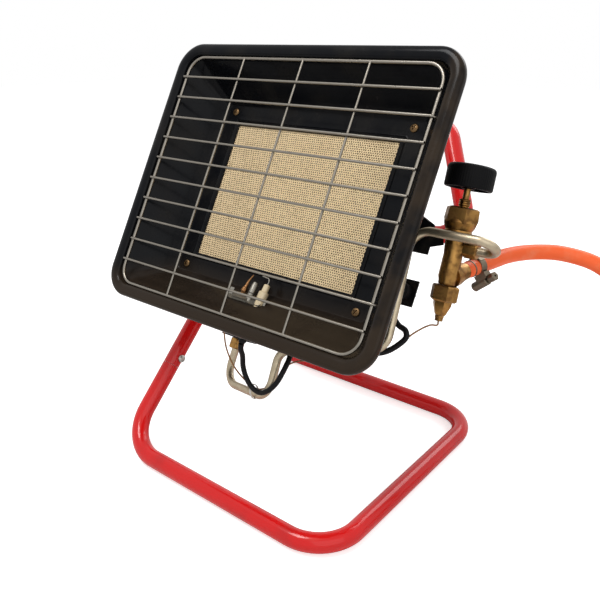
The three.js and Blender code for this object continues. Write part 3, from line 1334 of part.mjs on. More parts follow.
function makeHose() {
  const start = headToWorld(valveToHead(alongInlet(INLET_REACH + GAP + HOSE_END_LENGTH)));
  const ahead = headToWorld(valveToHead(alongInlet(INLET_REACH + GAP + HOSE_END_LENGTH + 16)));
  const landing = coilPath.stations[0].clone().addScaledVector(coilWay(0), -GAP);
  const before = landing.clone().addScaledVector(coilWay(0), -4);
  return lead([
    start, ahead, [194.5, 233.5, 244], [205, 248.5, 243.5], [219, 261, 242.5], [234.5, 270, 239.5],
    [250.5, 277, 234.5], [266, 282, 225.5], [279, 286, 213.5], [289.5, 289, 199], [297, 290, 182.5],
    [301.5, 289.5, 164.5], [303, 285.5, 137.5], [302, 280, 120], [301.5, 273, 103.5],
    [303.5, 264.5, 87], [308.5, 255.5, 72], [317, 247.5, 58], [328.5, 240, 45.5],
    [343, 234.5, 35.5], [359, 231.5, 28.5], before.toArray(), landing.toArray(),
  ], hoseR, 10, 28);
}

// crimped sleeve on the hose's far end, and the union that screws to the gas cylinder's regulator
const tailWay = coilWay(COIL_SWEEP).toArray();
const tailEnd = coilPath.stations[coilPath.steps].toArray();

function makeFerrule() {
  const inner = hoseR + GAP;
  const outer = inner + FERRULE_SHEET;
  const profile = [[inner, -FERRULE_LENGTH], [outer, -FERRULE_LENGTH]];
  const crimps = 3;
  const pitch = FERRULE_LENGTH / (crimps + 1);
  for (let i = 1; i <= crimps; i += 1) {
    const z = i * pitch - FERRULE_LENGTH;
    profile.push([outer, z - pitch * 0.3], [outer - FERRULE_SHEET / 2, z], [outer, z + pitch * 0.3]);
  }
  profile.push([outer, FERRULE_SHEET + GAP], [inner - 3, FERRULE_SHEET + GAP], [inner - 3, GAP],
    [inner, GAP]);
  return aim(turnedRing(profile, 16), tailWay, tailEnd);
}

function makeUnion() {
  const start = GAP + FERRULE_SHEET + GAP;
  const stem = rod(4.4, start, start + 6, 16);
  // turned so that one flat of the hexagon faces the floor
  const lieFlat = Math.atan2(tailWay[1], tailWay[0]) - Math.PI / 6;
  const nut = hexagon(UNION_FLATS, start + 5, start + 5 + UNION_LENGTH).rotateZ(lieFlat);
  const bore = rod(2.2, start - 1, start + 8 + UNION_LENGTH, 12);
  const mouth = rod(6.6, start + 11, start + 8 + UNION_LENGTH, 18);
  const cone = turned([[0, start + 5], [6, start + 5], [6, start + 12], [3.4, start + 16],
    [0, start + 16]], 16);
  return aim(cut(join(cut(join(stem, nut), mouth), cone), bore), tailWay, tailEnd);
}

place(heater, 'gas_hose', makeHose(), hoseRubber);
place(heater, 'hose_coil', makeCoil(), hoseRubber);
place(heater, 'hose_ferrule', makeFerrule(), zincSteel);
place(heater, 'hose_union', makeUnion(), brass);

export default heater;
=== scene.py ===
"""Portable radiant gas heater: a tilting infra-red burner head on a bent-tube floor stand.

Metres, +Z up, the front faces -Y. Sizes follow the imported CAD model, which is the frame.
"""
import math

import bmesh
import bpy
import numpy as np
from mathutils import Matrix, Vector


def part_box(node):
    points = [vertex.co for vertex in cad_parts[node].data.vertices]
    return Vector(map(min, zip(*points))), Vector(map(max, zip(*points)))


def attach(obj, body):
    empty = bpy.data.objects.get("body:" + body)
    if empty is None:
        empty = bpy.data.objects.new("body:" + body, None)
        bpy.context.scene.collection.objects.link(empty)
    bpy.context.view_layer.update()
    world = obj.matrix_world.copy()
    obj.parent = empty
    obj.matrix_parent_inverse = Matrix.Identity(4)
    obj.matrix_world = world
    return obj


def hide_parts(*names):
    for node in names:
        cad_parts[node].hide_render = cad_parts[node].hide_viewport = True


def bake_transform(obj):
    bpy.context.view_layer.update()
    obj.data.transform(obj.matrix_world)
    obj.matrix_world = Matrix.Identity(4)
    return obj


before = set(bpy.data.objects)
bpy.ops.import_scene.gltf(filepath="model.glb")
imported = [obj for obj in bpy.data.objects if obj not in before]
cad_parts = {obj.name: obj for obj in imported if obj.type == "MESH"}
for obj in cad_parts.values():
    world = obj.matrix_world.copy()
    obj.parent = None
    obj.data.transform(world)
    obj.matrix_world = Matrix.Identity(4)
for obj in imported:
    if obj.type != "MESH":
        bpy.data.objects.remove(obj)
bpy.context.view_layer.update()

# ------------------------------------------------------------------ camera
# A hand-held photograph from the right, a little above the head. The place, turn and lens were
# solved from the guard's wires and the stand's bars.
lens = bpy.data.cameras.new("camera")
lens.lens, lens.sensor_width = 39.83, 36.0
camera = bpy.data.objects.new("camera", lens)
camera.location = (0.412, -0.375, 0.4363)
camera.rotation_euler = (math.radians(68.471), 0.0, math.radians(38.864))
bpy.context.scene.collection.objects.link(camera)
bpy.context.scene.camera = camera


# ------------------------------------------------------------------ gas hose
# Orange-red rubber hose, 15 mm across and 1.5 m long. It is pushed on the valve's inlet, falls in a
# free curve to the floor and lies there in a coil of just under two turns, outside the picture.
class Field:
    """A number, colour or vector that varies over a surface. Arithmetic on it adds shader nodes."""

    def __init__(self, finish, socket):
        self.finish, self.socket = finish, socket

    def math(self, operation, *values):
        inputs = dict(enumerate((self, *values)))
        return self.finish.node("ShaderNodeMath", {"operation": operation}, inputs)

    def __add__(self, other):
        return self.math("ADD", other)

    def __sub__(self, other):
        return self.math("SUBTRACT", other)

    def __mul__(self, other):
        return self.math("MULTIPLY", other)

    def __truediv__(self, other):
        return self.math("DIVIDE", other)

    def __rsub__(self, other):
        return self * -1.0 + other

    __radd__ = __add__
    __rmul__ = __mul__

    def between(self, low, high):
        """0 up to low, 1 from high on, and a smooth step from one to the other."""
        return self.finish.node(
            "ShaderNodeMapRange", {"interpolation_type": "SMOOTHSTEP"},
            {"Value": self, "From Min": low, "From Max": high})


class Finish:
    """A surface finish: one Principled shader and the nodes that vary it."""

    def __init__(self, name, **shader):
        self.material = bpy.data.materials.new(name)
        self.material.use_nodes = True
        self.tree = self.material.node_tree
        self.shader = self.tree.nodes["Principled BSDF"]
        for socket, value in shader.items():
            self.put(self.shader, socket.replace("_", " "), value)

    def put(self, node, name, value):
        """Links a field to a socket, or sets the socket to a plain value."""
        socket = node.inputs[name]
        if isinstance(value, Field):
            self.tree.links.new(value.socket, socket)
        elif isinstance(value, (tuple, list)) and len(value) == 3 and socket.type == "RGBA":
            socket.default_value = (*value, 1.0)
        else:
            socket.default_value = value

    def node(self, kind, settings, inputs, output=0):
        """Adds a node with its settings and the values or links of its sockets."""
        made = self.tree.nodes.new(kind)
        for name, value in settings.items():
            setattr(made, name, value)
        for name, value in inputs.items():
            self.put(made, name, value)
        return Field(self, made.outputs[output])

    def place(self):
        """The surface's own place, in metres."""
        return self.node("ShaderNodeTexCoord", {}, {}, "Object")

    def parts(self, vector):
        """The three numbers of a vector that varies over the surface."""
        split = self.node("ShaderNodeSeparateXYZ", {}, {0: vector})
        return [Field(self, output) for output in split.socket.node.outputs]

    def noise(self, size, detail):
        """Soft cloudy variation from 0 to 1 with features about size metres wide."""
        return self.node("ShaderNodeTexNoise", {}, {
            "Vector": self.place(), "Scale": 1.0 / size, "Detail": detail})

    def mix(self, mask, low, high):
        """Colour low where the mask is 0 and high where it is 1."""
        return self.node("ShaderNodeMix", {"data_type": "RGBA"}, {0: mask, 6: low, 7: high}, 2)

    def set(self, **fields):
        """Gives the shader's sockets their fields, with a low line for each space in a name."""
        for name, value in fields.items():
            self.put(self.shader, name.replace("_", " "), value)
        return self

    def relief(self, height, depth):
        """Raises the surface by up to depth metres where height is 1."""
        bump = self.node("ShaderNodeBump", {}, {"Height": height, "Distance": depth, "Strength": 1.0})
        return self.set(Normal=bump)


def unit(vectors):
    """Vectors of length 1: each is divided by its length."""
    return vectors / np.linalg.norm(vectors, axis=-1, keepdims=True)


def skin(grid, along=False, lids=True):
    """Quads over grid[i, j] between neighbouring rows, each row closed to a ring. With along the last
    ring joins the first. Otherwise a lid closes the first ring and the last."""
    rows, columns = grid.shape[:2]
    i = np.arange(rows if along else rows - 1)[:, None]
    j = np.arange(columns)[None, :]
    below, right = (i + 1) % rows, (j + 1) % columns
    quads = np.stack([i * columns + j, i * columns + right,
                      below * columns + right, below * columns + j], -1).reshape(-1, 4)
    faces = quads.tolist()
    if lids and not along:
        faces += [np.arange(columns).tolist(), (np.arange(columns) + (rows - 1) * columns).tolist()]
    return grid.reshape(-1, 3), faces


def mesh_of(name, *skins):
    """One mesh of several skins, with every closed skin's faces turned outwards."""
    starts = np.cumsum([0] + [len(points) for points, _ in skins])
    mesh = bpy.data.meshes.new(name)
    mesh.from_pydata(
        np.concatenate([points for points, _ in skins]).tolist(), [],
        [[corner + start for corner in face]
         for start, (_, faces) in zip(starts.tolist(), skins) for face in faces])
    shape = bmesh.new()
    shape.from_mesh(mesh)
    bmesh.ops.recalc_face_normals(shape, faces=shape.faces)
    shape.to_mesh(mesh)
    shape.free()
    return mesh


def piece(name, mesh, body, finish, slot, *stands_for, crease=35):
    """Puts a finished mesh in the scene: smooth up to the crease angle, riding on its body."""
    made = bpy.data.objects.new(name, mesh)
    bpy.context.scene.collection.objects.link(made)
    mesh.materials.clear()
    mesh.materials.append(finish.material)
    mesh.shade_smooth()
    mesh.set_sharp_from_angle(angle=math.radians(crease))
    if body:
        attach(made, body)
    if stands_for:
        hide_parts(*stands_for)
    return made


def curve(points, steps):
    """Centripetal Catmull-Rom curve through the points: between two points the curve is a cubic whose
    end slopes come from the distances to the neighbours, to the power of one half."""
    p = np.asarray(points, float)
    p = np.concatenate([[2 * p[0] - p[1]], p, [2 * p[-1] - p[-2]]])
    gap = np.sqrt(np.linalg.norm(np.diff(p, axis=0), axis=1))[:, None]
    a, b, c, d = p[:-3], p[1:-2], p[2:-1], p[3:]
    g0, g1, g2 = gap[:-2], gap[1:-1], gap[2:]
    leave = ((b - a) / g0 - (c - a) / (g0 + g1) + (c - b) / g1) * g1
    reach = ((c - b) / g1 - (d - b) / (g1 + g2) + (d - c) / g2) * g1
    t = np.linspace(0, 1, steps, endpoint=False)[None, :, None]
    b, c, leave, reach = (v[:, None] for v in (b, c, leave, reach))
    cubic = ((2 * t**3 - 3 * t**2 + 1) * b + (t**3 - 2 * t**2 + t) * leave
             + (3 * t**2 - 2 * t**3) * c + (t**3 - t**2) * reach)
    return np.concatenate([cubic.reshape(-1, 3), p[-2:-1]])


def bar(path, radius, sides, across=(0.0, 0.0, 1.0), along=False):
    """Round bar: each path point carries a circle of the radius, square to the path. The circle
    starts on the side that is square to the path and to one fixed direction."""
    path = np.asarray(path, float)
    if along:
        way = np.roll(path, -1, 0) - np.roll(path, 1, 0)
    else:
        way = np.gradient(path, axis=0)
    side = unit(np.cross(unit(way), across))
    rise = np.cross(side, unit(way))
    turn = np.linspace(0, 2 * math.pi, sides, endpoint=False)[None, :, None]
    radius = np.broadcast_to(radius, len(path))[:, None, None]
    grid = path[:, None] + radius * (np.cos(turn) * side[:, None] + np.sin(turn) * rise[:, None])
    return skin(grid, along=along)


MM = 0.001
LEAN = math.radians(29.2)
HEAD_AT = (0.0, 80.6, 308.3)
VALVE_LEAN = math.radians(11.6)
VALVE_AT = (168.5, 60.0, 63.3)


def turned_back(points, at, lean):
    """Turns points about X by the lean and moves them: y' = y cos + z sin, z' = z cos - y sin."""
    x, y, z = np.moveaxis(np.asarray(points, float), -1, 0)
    c, s = math.cos(lean), math.sin(lean)
    return np.stack([at[0] + x, at[1] + y * c + z * s, at[2] - y * s + z * c], -1)


def on_head(points):
    """Head frame in mm (x right, y back from the guard, z up the panel) to the row frame in metres."""
    return turned_back(points, HEAD_AT, LEAN) * MM


def on_valve(points):
    """Valve frame in mm (z along its axis, 0 at the knob's top) to the row frame in metres."""
    return on_head(turned_back(points, VALVE_AT, -VALVE_LEAN))


HOSE_D, HELD_LENGTH = 15.0, 44.0
INLET_LEVEL, INLET_REACH = 97.5, 22.3
INLET_SIDE, INLET_RISE = math.radians(13.8), math.radians(19.1)
inlet_way = np.array([math.sin(INLET_SIDE) * math.cos(INLET_RISE),
                      math.cos(INLET_SIDE) * math.cos(INLET_RISE), math.sin(INLET_RISE)])


def along_inlet(distances):
    """Points on the inlet's axis, in the valve's frame, at distances from the valve's axis."""
    return np.multiply.outer(distances, inlet_way) - [0.0, 0.0, INLET_LEVEL]


COIL_AT, COIL_RADIUS, COIL_PITCH = (400.0, 315.0), 82.0, 16.4
COIL_START, COIL_SWEEP, COIL_STEP = -83.0, 680.0, 5.0
UPPER_TURN, STEP_DOWN, STEP_OUT = 16.0, (250.0, 360.0), (500.0, 600.0)
TAIL_LIFT, TAIL_SWEEP, TAIL_LENGTH = 2.3, 60.0, 22.0
LANDING = [[19.3], [15.3]]


def eased(value, low, high):
    """0 up to low, 1 from high on, and 3 t^2 - 2 t^3 between them."""
    t = np.clip((value - low) / (high - low), 0, 1)
    return t * t * (3 - 2 * t)


def coil(sweep):
    """Coil on the floor: a circle that steps down from the upper turn and then out round itself."""
    radius = COIL_RADIUS + COIL_PITCH * eased(sweep, *STEP_OUT)
    height = (HOSE_D / 2 + UPPER_TURN * (1 - eased(sweep, *STEP_DOWN))
              + TAIL_LIFT * eased(sweep, COIL_SWEEP - TAIL_SWEEP, COIL_SWEEP))
    a = np.radians(COIL_START + sweep)
    return np.stack([COIL_AT[0] + radius * np.cos(a), COIL_AT[1] + radius * np.sin(a), height], -1)


coil_points = coil(np.arange(0, COIL_SWEEP + 1, COIL_STEP))
coil_in = unit(coil_points[1] - coil_points[0])
coil_out = unit(coil_points[-1] - coil_points[-2])
held = on_valve(along_inlet([INLET_REACH, 32, 44, 56, INLET_REACH + HELD_LENGTH,
                             INLET_REACH + HELD_LENGTH + 16])) / MM
falling = [
    (194.5, 233.5, 244), (205, 248.5, 243.5), (219, 261, 242.5), (234.5, 270, 239.5),
    (250.5, 277, 234.5), (266, 282, 225.5), (279, 286, 213.5), (289.5, 289, 199), (297, 290, 182.5),
    (301.5, 289.5, 164.5), (303, 285.5, 137.5), (302, 280, 120), (301.5, 273, 103.5),
    (303.5, 264.5, 87), (308.5, 255.5, 72), (317, 247.5, 58), (328.5, 240, 45.5),
    (343, 234.5, 35.5), (359, 231.5, 28.5)]
landing = coil_points[0] - coil_in * LANDING
route = curve(np.concatenate([held, falling, landing, coil_points[:1]]), 5)
route = np.concatenate([route, coil_points[1:], [coil_points[-1] + coil_out * TAIL_LENGTH]]) * MM

hose_rubber = Finish("hose_rubber", Specular_IOR_Level=0.18)
scuffs = hose_rubber.noise(0.012, 5.0).between(0.45, 0.75)
hose_rubber.set(Base_Color=hose_rubber.mix(scuffs, (0.95, 0.145, 0.040), (0.92, 0.21, 0.09)),
                Roughness=scuffs * 0.18 + 0.36)
hose_rubber.relief(hose_rubber.noise(0.0009, 2.0), 0.00004)
hose = piece("supply_hose", mesh_of("supply_hose", bar(route, HOSE_D / 2 * MM, 28)), None,
             hose_rubber, "hose_rubber")
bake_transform(hose)
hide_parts("gas_hose_end", "gas_hose", "hose_coil")


# ------------------------------------------------------------------ hose fittings
# A crimped zinc-plated sleeve and a brass union on the hose's far end. A worm-drive clamp of dulled
# steel band holds the hose on the valve's inlet, with its screw below the hose.
SAME_PLACE, SAME_FLAT = 2e-6, math.radians(0.6)
TURN_START = (0.31, 0.22, -0.93)


def dress(node, body, finish, slot, edge=0.25, crease=38):
    """A CAD solid with its doubles merged, its flat faces made whole and its edges rounded."""
    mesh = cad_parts[node].data.copy()
    shape = bmesh.new()
    shape.from_mesh(mesh)
    bmesh.ops.remove_doubles(shape, verts=shape.verts, dist=SAME_PLACE)
    bmesh.ops.dissolve_limit(shape, angle_limit=SAME_FLAT, verts=shape.verts, edges=shape.edges)
    shape.to_mesh(mesh)
    shape.free()
    made = piece(node + "_body", mesh, body, finish, slot, node, crease=crease)
    rounding = made.modifiers.new("rounded_edges", "BEVEL")
    rounding.width, rounding.segments = edge * MM, 2
    rounding.limit_method, rounding.angle_limit = "ANGLE", math.radians(crease)
    rounding.harden_normals = False
    return made


def metal(name, tone, rough):
    """Plated or drawn metal: soft clouds in which it is darker and duller, and a fine grain."""
    made = Finish(name, Metallic=1.0)
    clouds = made.noise(0.006, 4.0)
    made.set(Base_Color=made.mix(clouds, tone, tuple(0.72 * c for c in tone)),
             Roughness=clouds * 0.22 + rough)
    return made.relief(made.noise(0.0006, 3.0), 0.00002)


def turned(profile, at, axis, sides=24):
    """Rows of [along, radius] carried round the axis that passes through a point of the valve's or
    the head's frame: point + along times the axis + a circle of the radius square to it, which
    starts on the side that is square to one fixed direction."""
    profile, axis = np.asarray(profile, float), unit(np.asarray(axis, float))
    side = unit(np.cross(axis, TURN_START))
    turn = np.linspace(0, 2 * math.pi, sides, endpoint=False)[None, :, None]
    circle = np.cos(turn) * side + np.sin(turn) * np.cross(axis, side)
    radius = np.maximum(profile[:, 1], 0.01)[:, None, None]
    return np.asarray(at) + profile[:, 0, None, None] * axis + radius * circle


def slab(middle, axes, half):
    """Box round a middle point: its corners lie half a length each way along each of three axes."""
    corner = np.array([[-1, -1], [1, -1], [1, 1], [-1, 1]]) * half[1:]
    end = corner @ np.asarray(axes)[1:]
    way = half[0] * np.asarray(axes)[0]
    return np.asarray(middle) + np.stack([end - way, end + way])


zinc_steel = metal("zinc_steel", (0.50, 0.48, 0.44), 0.30)
worn_steel = metal("worn_clamp_steel", (0.20, 0.165, 0.12), 0.34)
brass = Finish("aged_brass", Metallic=1.0)
tarnish = brass.noise(0.007, 5.0).between(0.38, 0.70)
brass.set(Base_Color=brass.mix(tarnish, (0.38, 0.205, 0.060), (0.17, 0.086, 0.028)),
          Roughness=tarnish * 0.22 + 0.30)
brass.relief(brass.noise(0.0011, 4.0), 0.00005)
ferrule = dress("hose_ferrule", "stand", zinc_steel, "zinc_steel", 0.15)
union = dress("hose_union", "stand", brass, "brass")

CLAMP_AT, CLAMP_TURN = 40.5, math.radians(-40.0)
SCREW_BELOW, SADDLE_BELOW, SADDLE_HALF = 15.4, 10.4, [6.4, 3.8, 3.0]
BAND_SIDES, TAIL_SIDES = 48, slice(5, 20)
sideways = unit(np.array([1.0, 0.0, 0.0]) - inlet_way * inlet_way[0])
screw_way = sideways * math.cos(CLAMP_TURN) + np.cross(inlet_way, sideways) * math.sin(CLAMP_TURN)
downward = np.cross(screw_way, inlet_way)
downward *= -np.sign(downward[2])
clamp_middle = along_inlet([CLAMP_AT])[0]
screw_middle = clamp_middle + downward * SCREW_BELOW
band = turned([[-3.6, 7.5], [-3.6, 8.3], [-3.2, 8.6], [3.2, 8.6], [3.6, 8.3], [3.6, 7.5]],
              clamp_middle, inlet_way, BAND_SIDES)
tail = turned([[-3.0, 8.6], [-3.0, 9.3], [3.0, 9.3], [3.0, 8.6]], clamp_middle, inlet_way, BAND_SIDES)
crimp = turned([[-11.5, 7.4], [-11.3, 7.9], [-10.1, 7.9], [-9.9, 7.4]], clamp_middle, inlet_way,
               BAND_SIDES)
saddle = slab(clamp_middle + downward * SADDLE_BELOW, [screw_way, inlet_way, downward], SADDLE_HALF)
cover = turned([[-14.5, 0], [-14.5, 3.9], [-14.0, 4.4], [3.2, 4.4], [3.8, 3.9], [3.8, 0]],
               screw_middle, screw_way)
head_end = turned([[3.0, 0], [3.0, 2.6], [6.4, 2.6], [6.4, 3.9], [6.9, 4.3], [12.6, 4.3], [13.2, 3.8],
                   [13.2, 1.2], [11.6, 1.0], [11.6, 0]], screw_middle, screw_way, 6)
piece("clamp_band", mesh_of("clamp_band", skin(on_valve(band), along=True),
                            skin(on_valve(tail[:, TAIL_SIDES].swapaxes(0, 1))),
                            skin(on_valve(crimp), along=True),
                            skin(on_valve(saddle)), skin(on_valve(cover))),
      "head", worn_steel, "zinc_steel", "hose_clamp")
piece("clamp_screw", mesh_of("clamp_screw", skin(on_valve(head_end))), "head", worn_steel,
      "zinc_steel", "hose_clamp_screw")

# ------------------------------------------------------------------ stand
# Two lengths of 19 mm steel tube, bent cold, welded and stove-enamelled red. The floor frame's leg
# slides into the upper tube and a screw holds them. A black plug closes the rear bar's open end.
TUBE_R, TUBE_SIDES = 9.5, 40
HALF_BASE, BASE_LENGTH, BASE_BEND = 141.0, 293.0, 45.0
LEG_LEAN = math.radians(44.6)
LEG_LENGTH, LEG_JOINT, JOINT_GAP = 332.0, 101.0, 0.4
HANDLE_HALF, HANDLE_UP = 80.0, 118.0
HANDLE_FOOT_IN, HANDLE_FOOT_UP = 17.0, 8.5
LEG_BEND, PIVOT_BEND, HANDLE_BEND = 34.0, 24.0, 28.0
PIVOT_Y = LEG_LENGTH * math.sin(LEG_LEAN)
PIVOT_Z = TUBE_R + LEG_LENGTH * math.cos(LEG_LEAN)


def bent(corners, radii, steps=16):
    """Straight runs joined by round bends: each corner is replaced by an arc of its radius that
    touches both runs, start + r (sin t along the run + (1 - cos t) to the inside)."""
    c = np.asarray(corners, float)
    a, b = unit(c[1:-1] - c[:-2]), unit(c[2:] - c[1:-1])
    cosine = np.sum(a * b, axis=1, keepdims=True)
    angle = np.arccos(np.clip(cosine, -1, 1))
    radii = np.broadcast_to(radii, len(a))[:, None]
    start = c[1:-1] - a * radii * np.tan(angle / 2)
    inside = unit(b - a * cosine)
    turn = (angle * np.linspace(0, 1, steps))[:, :, None]
    arcs = start[:, None] + radii[:, None] * (
        np.sin(turn) * a[:, None] + (1 - np.cos(turn)) * inside[:, None])
    return np.concatenate([c[:1], arcs.reshape(-1, 3), c[-1:]])


def on_leg(x, distance):
    """A point of the leg's slope, so far up it from the front bar."""
    return (x, distance * math.sin(LEG_LEAN), TUBE_R + distance * math.cos(LEG_LEAN))


def on_handle(x, up):
    """A point of the handle's plane, so far up it from the pivot bar."""
    return (x, PIVOT_Y + up * math.sin(LEAN), PIVOT_Z + up * math.cos(LEAN))


red_paint = Finish("red_enamel", Specular_IOR_Level=0.22, Coat_Roughness=0.03, Coat_Weight=0.25)
orange_peel = red_paint.noise(0.004, 2.0)
dust = red_paint.noise(0.03, 6.0).between(0.5, 0.8)
red_paint.set(Base_Color=red_paint.mix(dust, (0.66, 0.009, 0.009), (0.54, 0.012, 0.012)),
              Roughness=dust * 0.12 + 0.16)
red_paint.relief(orange_peel, 0.00006)
floor_tube = bent([(-HALF_BASE, BASE_LENGTH, TUBE_R), (HALF_BASE, BASE_LENGTH, TUBE_R),
                   (HALF_BASE, 0, TUBE_R), on_leg(-HALF_BASE, 0),
                   on_leg(-HALF_BASE, LEG_JOINT)], BASE_BEND)
piece("floor_frame", mesh_of("floor_frame", bar(floor_tube * MM, TUBE_R * MM, TUBE_SIDES)), "stand",
      red_paint, "red_paint", "base_tube")
leg_and_handle = bent([on_leg(-HALF_BASE, LEG_JOINT + JOINT_GAP), on_leg(-HALF_BASE, LEG_LENGTH),
                       (HALF_BASE, PIVOT_Y, PIVOT_Z), on_handle(HANDLE_HALF, HANDLE_UP),
                       on_handle(-HANDLE_HALF, HANDLE_UP),
                       on_handle(HANDLE_FOOT_IN - HALF_BASE, HANDLE_FOOT_UP)],
                      [LEG_BEND, PIVOT_BEND, HANDLE_BEND, HANDLE_BEND])
piece("leg_and_handle", mesh_of("leg_and_handle", bar(leg_and_handle * MM, TUBE_R * MM, TUBE_SIDES)),
      "stand", red_paint, "red_paint", "upper_tube")
black_plastic = Finish("moulded_black", Specular_IOR_Level=0.08)
grain = black_plastic.noise(0.0012, 3.0)
black_plastic.set(Base_Color=black_plastic.mix(grain, (0.0025, 0.0025, 0.0030),
                                               (0.0055, 0.0055, 0.0060)),
                  Roughness=grain * 0.15 + 0.44)
black_plastic.relief(grain, 0.00006)
dress("leg_screw", "stand", zinc_steel, "zinc_steel")
dress("tube_end_cap", "stand", black_plastic, "black_plastic", 0.3)

# ------------------------------------------------------------------ reflector
# One steel sheet pressed into a dish: flat border with a raised bead round the window, sloping
# walls and a rolled rim with a skirt, coated with black vitreous enamel. Its lower wall is painted
# brown as a painted reflection, and its right rim is painted brown in patches.
WINDOW = np.array([100.0, 72.3])
PAN_DEPTH, PAN_FLAT, WALL_REACH, WALL_END = 46.0, 22.0, 54.5, 3.0
RIM_WIDTH, RIM_PROUD, RIM_SKIRT, SHEET = 13.0, 4.0, 17.0, 1.2
BEAD_AT, BEAD_WIDE, BEAD_HIGH = 4.5, 0.9, 1.4
FILLET_R, FILLET_BACK, FILLET_TURN = 2.6, 2.0, math.radians(53)
WINDOW_CORNER, FLAT_CORNER, WALL_CORNER = 2.0, 5.0, 16.0


def rounded(half_width, half_height, radius, steps=18):
    """Round-cornered rectangles, one in each row: quarter circles about the four corners' centres."""
    corner = np.repeat(np.arange(4), steps)
    angle = math.pi / 2 * (corner + np.tile(np.linspace(0, 1, steps), 4))
    sx = np.where(np.isin(corner, (0, 3)), 1, -1)
    sz = np.where(corner < 2, 1, -1)
    w, h, r = (np.asarray(v, float)[:, None] for v in (half_width, half_height, radius))
    return sx * (w - r) + r * np.cos(angle), sz * (h - r) + r * np.sin(angle)


def loops(section):
    """Loops round the window from rows of [reach out from the window, depth, corner radius]: each row
    is a round-cornered rectangle that is larger than the window by its reach, at its depth."""
    reach, depth, radius = np.asarray(section, float).T
    x, z = rounded(WINDOW[0] + reach, WINDOW[1] + reach, radius)
    return on_head(np.stack([x, np.broadcast_to(depth[:, None], x.shape), z], -1))


border = np.linspace(0, PAN_FLAT - FILLET_BACK, 41)
bead = BEAD_HIGH * np.exp(-(((border - BEAD_AT) / BEAD_WIDE) ** 2))
floor_rows = np.stack([border, PAN_DEPTH - bead,
                       WINDOW_CORNER + (FLAT_CORNER - WINDOW_CORNER) * border / PAN_FLAT], -1)
fillet_turn = np.linspace(0, FILLET_TURN, 6)[1:]
fillet_rows = np.stack([PAN_FLAT - FILLET_BACK + FILLET_R * np.sin(fillet_turn),
                        PAN_DEPTH - FILLET_R * (1 - np.cos(fillet_turn)),
                        np.full(len(fillet_turn), FLAT_CORNER)], -1)
up_wall = np.linspace(0, 1, 14)[2:]
wall_rows = np.stack([PAN_FLAT + (WALL_REACH - PAN_FLAT) * up_wall,
                      PAN_DEPTH + (WALL_END - PAN_DEPTH) * up_wall,
                      FLAT_CORNER + (WALL_CORNER - FLAT_CORNER) * up_wall], -1)
rim_turn = np.linspace(math.radians(14), math.radians(180), 22)
over_rim = RIM_WIDTH / 2 * (1 - np.cos(rim_turn))
rim_rows = np.stack([WALL_REACH + over_rim,
                     WALL_END - (WALL_END + RIM_PROUD) * np.sin(rim_turn) ** 0.5,
                     WALL_CORNER + over_rim], -1)
skirt_rows = np.array([[-0.4, 4.4, 28.8], [-2.4, 8.5, 27.6], [-6.0, 13.5, 25.0],
                       [-9.5, RIM_SKIRT, 22.5]]) + [WALL_REACH + RIM_WIDTH, 0.0, 0.0]
pan_rows = np.concatenate([floor_rows, fillet_rows, wall_rows, rim_rows, skirt_rows])
black_enamel = Finish("black_enamel", Specular_IOR_Level=0.08, Coat_Weight=0.02, Coat_Roughness=0.05)
haze = black_enamel.noise(0.035, 5.0).between(0.42, 0.78)
enamel_x, _, enamel_z = black_enamel.parts(black_enamel.place())
# Painted reflection: below the window the enamel's colour turns brown, standing in for a brown surface
# reflected in the lower wall. On the right rim the colour turns brown in noisy patches.
right_rim_brown_patches = enamel_x.between(0.148, 0.158) * black_enamel.noise(0.03, 3.0).between(0.24, 0.60)
painted_reflection_and_rim_brown = 1.0 - enamel_z.between(0.188, 0.222) * (1.0 - right_rim_brown_patches)
enamel_tone = black_enamel.mix(haze, (0.0038, 0.0043, 0.0058), (0.0095, 0.0087, 0.0082))
black_enamel.set(Base_Color=black_enamel.mix(painted_reflection_and_rim_brown, enamel_tone, (0.030, 0.021, 0.014)),
                 Roughness=haze * 0.20 + 0.17)
black_enamel.relief(black_enamel.noise(0.02, 2.0), 0.00005)
pan = piece("reflector", mesh_of("reflector", skin(loops(pan_rows), lids=False)), "head",
            black_enamel, "black_enamel", "reflector_pan", crease=50)
sheet = pan.modifiers.new("sheet", "SOLIDIFY")
sheet.thickness, sheet.offset = SHEET * MM, -1.0

# ------------------------------------------------------------------ burner
# A cordierite plaque pierced with thousands of fine flame holes, bedded on a ceramic-fibre gasket
# in a pressed steel mixing chamber. Four dull brass screws hold the chamber to the reflector.
PLAQUE = WINDOW + 2.0
PLAQUE_GAP, PLAQUE_THICK, PLAQUE_CHAMFER = 0.3, 13.0, 0.8
HOLE_PITCH, HOLE_R = 2.5, 0.74


def plaque_mesh():
    """Slab with small chamfers; its UV map holds x and z on the panel in millimetres."""
    depth = PAN_DEPTH + SHEET + PLAQUE_GAP + np.array(
        [0.0, PLAQUE_CHAMFER, PLAQUE_THICK - PLAQUE_CHAMFER, PLAQUE_THICK])
    inset = np.array([-PLAQUE_CHAMFER, 0.0, 0.0, -PLAQUE_CHAMFER])
    x, z = rounded(PLAQUE[0] + inset, PLAQUE[1] + inset, 2.4 + inset * 0.4, 5)
    flat = np.stack([x, np.broadcast_to(depth[:, None], x.shape), z], -1)
    mesh = mesh_of("pierced_plaque", skin(on_head(flat)))
    corner_at = np.zeros(len(mesh.loops), np.int32)
    mesh.loops.foreach_get("vertex_index", corner_at)
    place = np.stack([x, z], -1).reshape(-1, 2)[corner_at]
    mesh.uv_layers.new(name="panel_mm").data.foreach_set("uv", place.astype(np.float32).ravel())
    return mesh


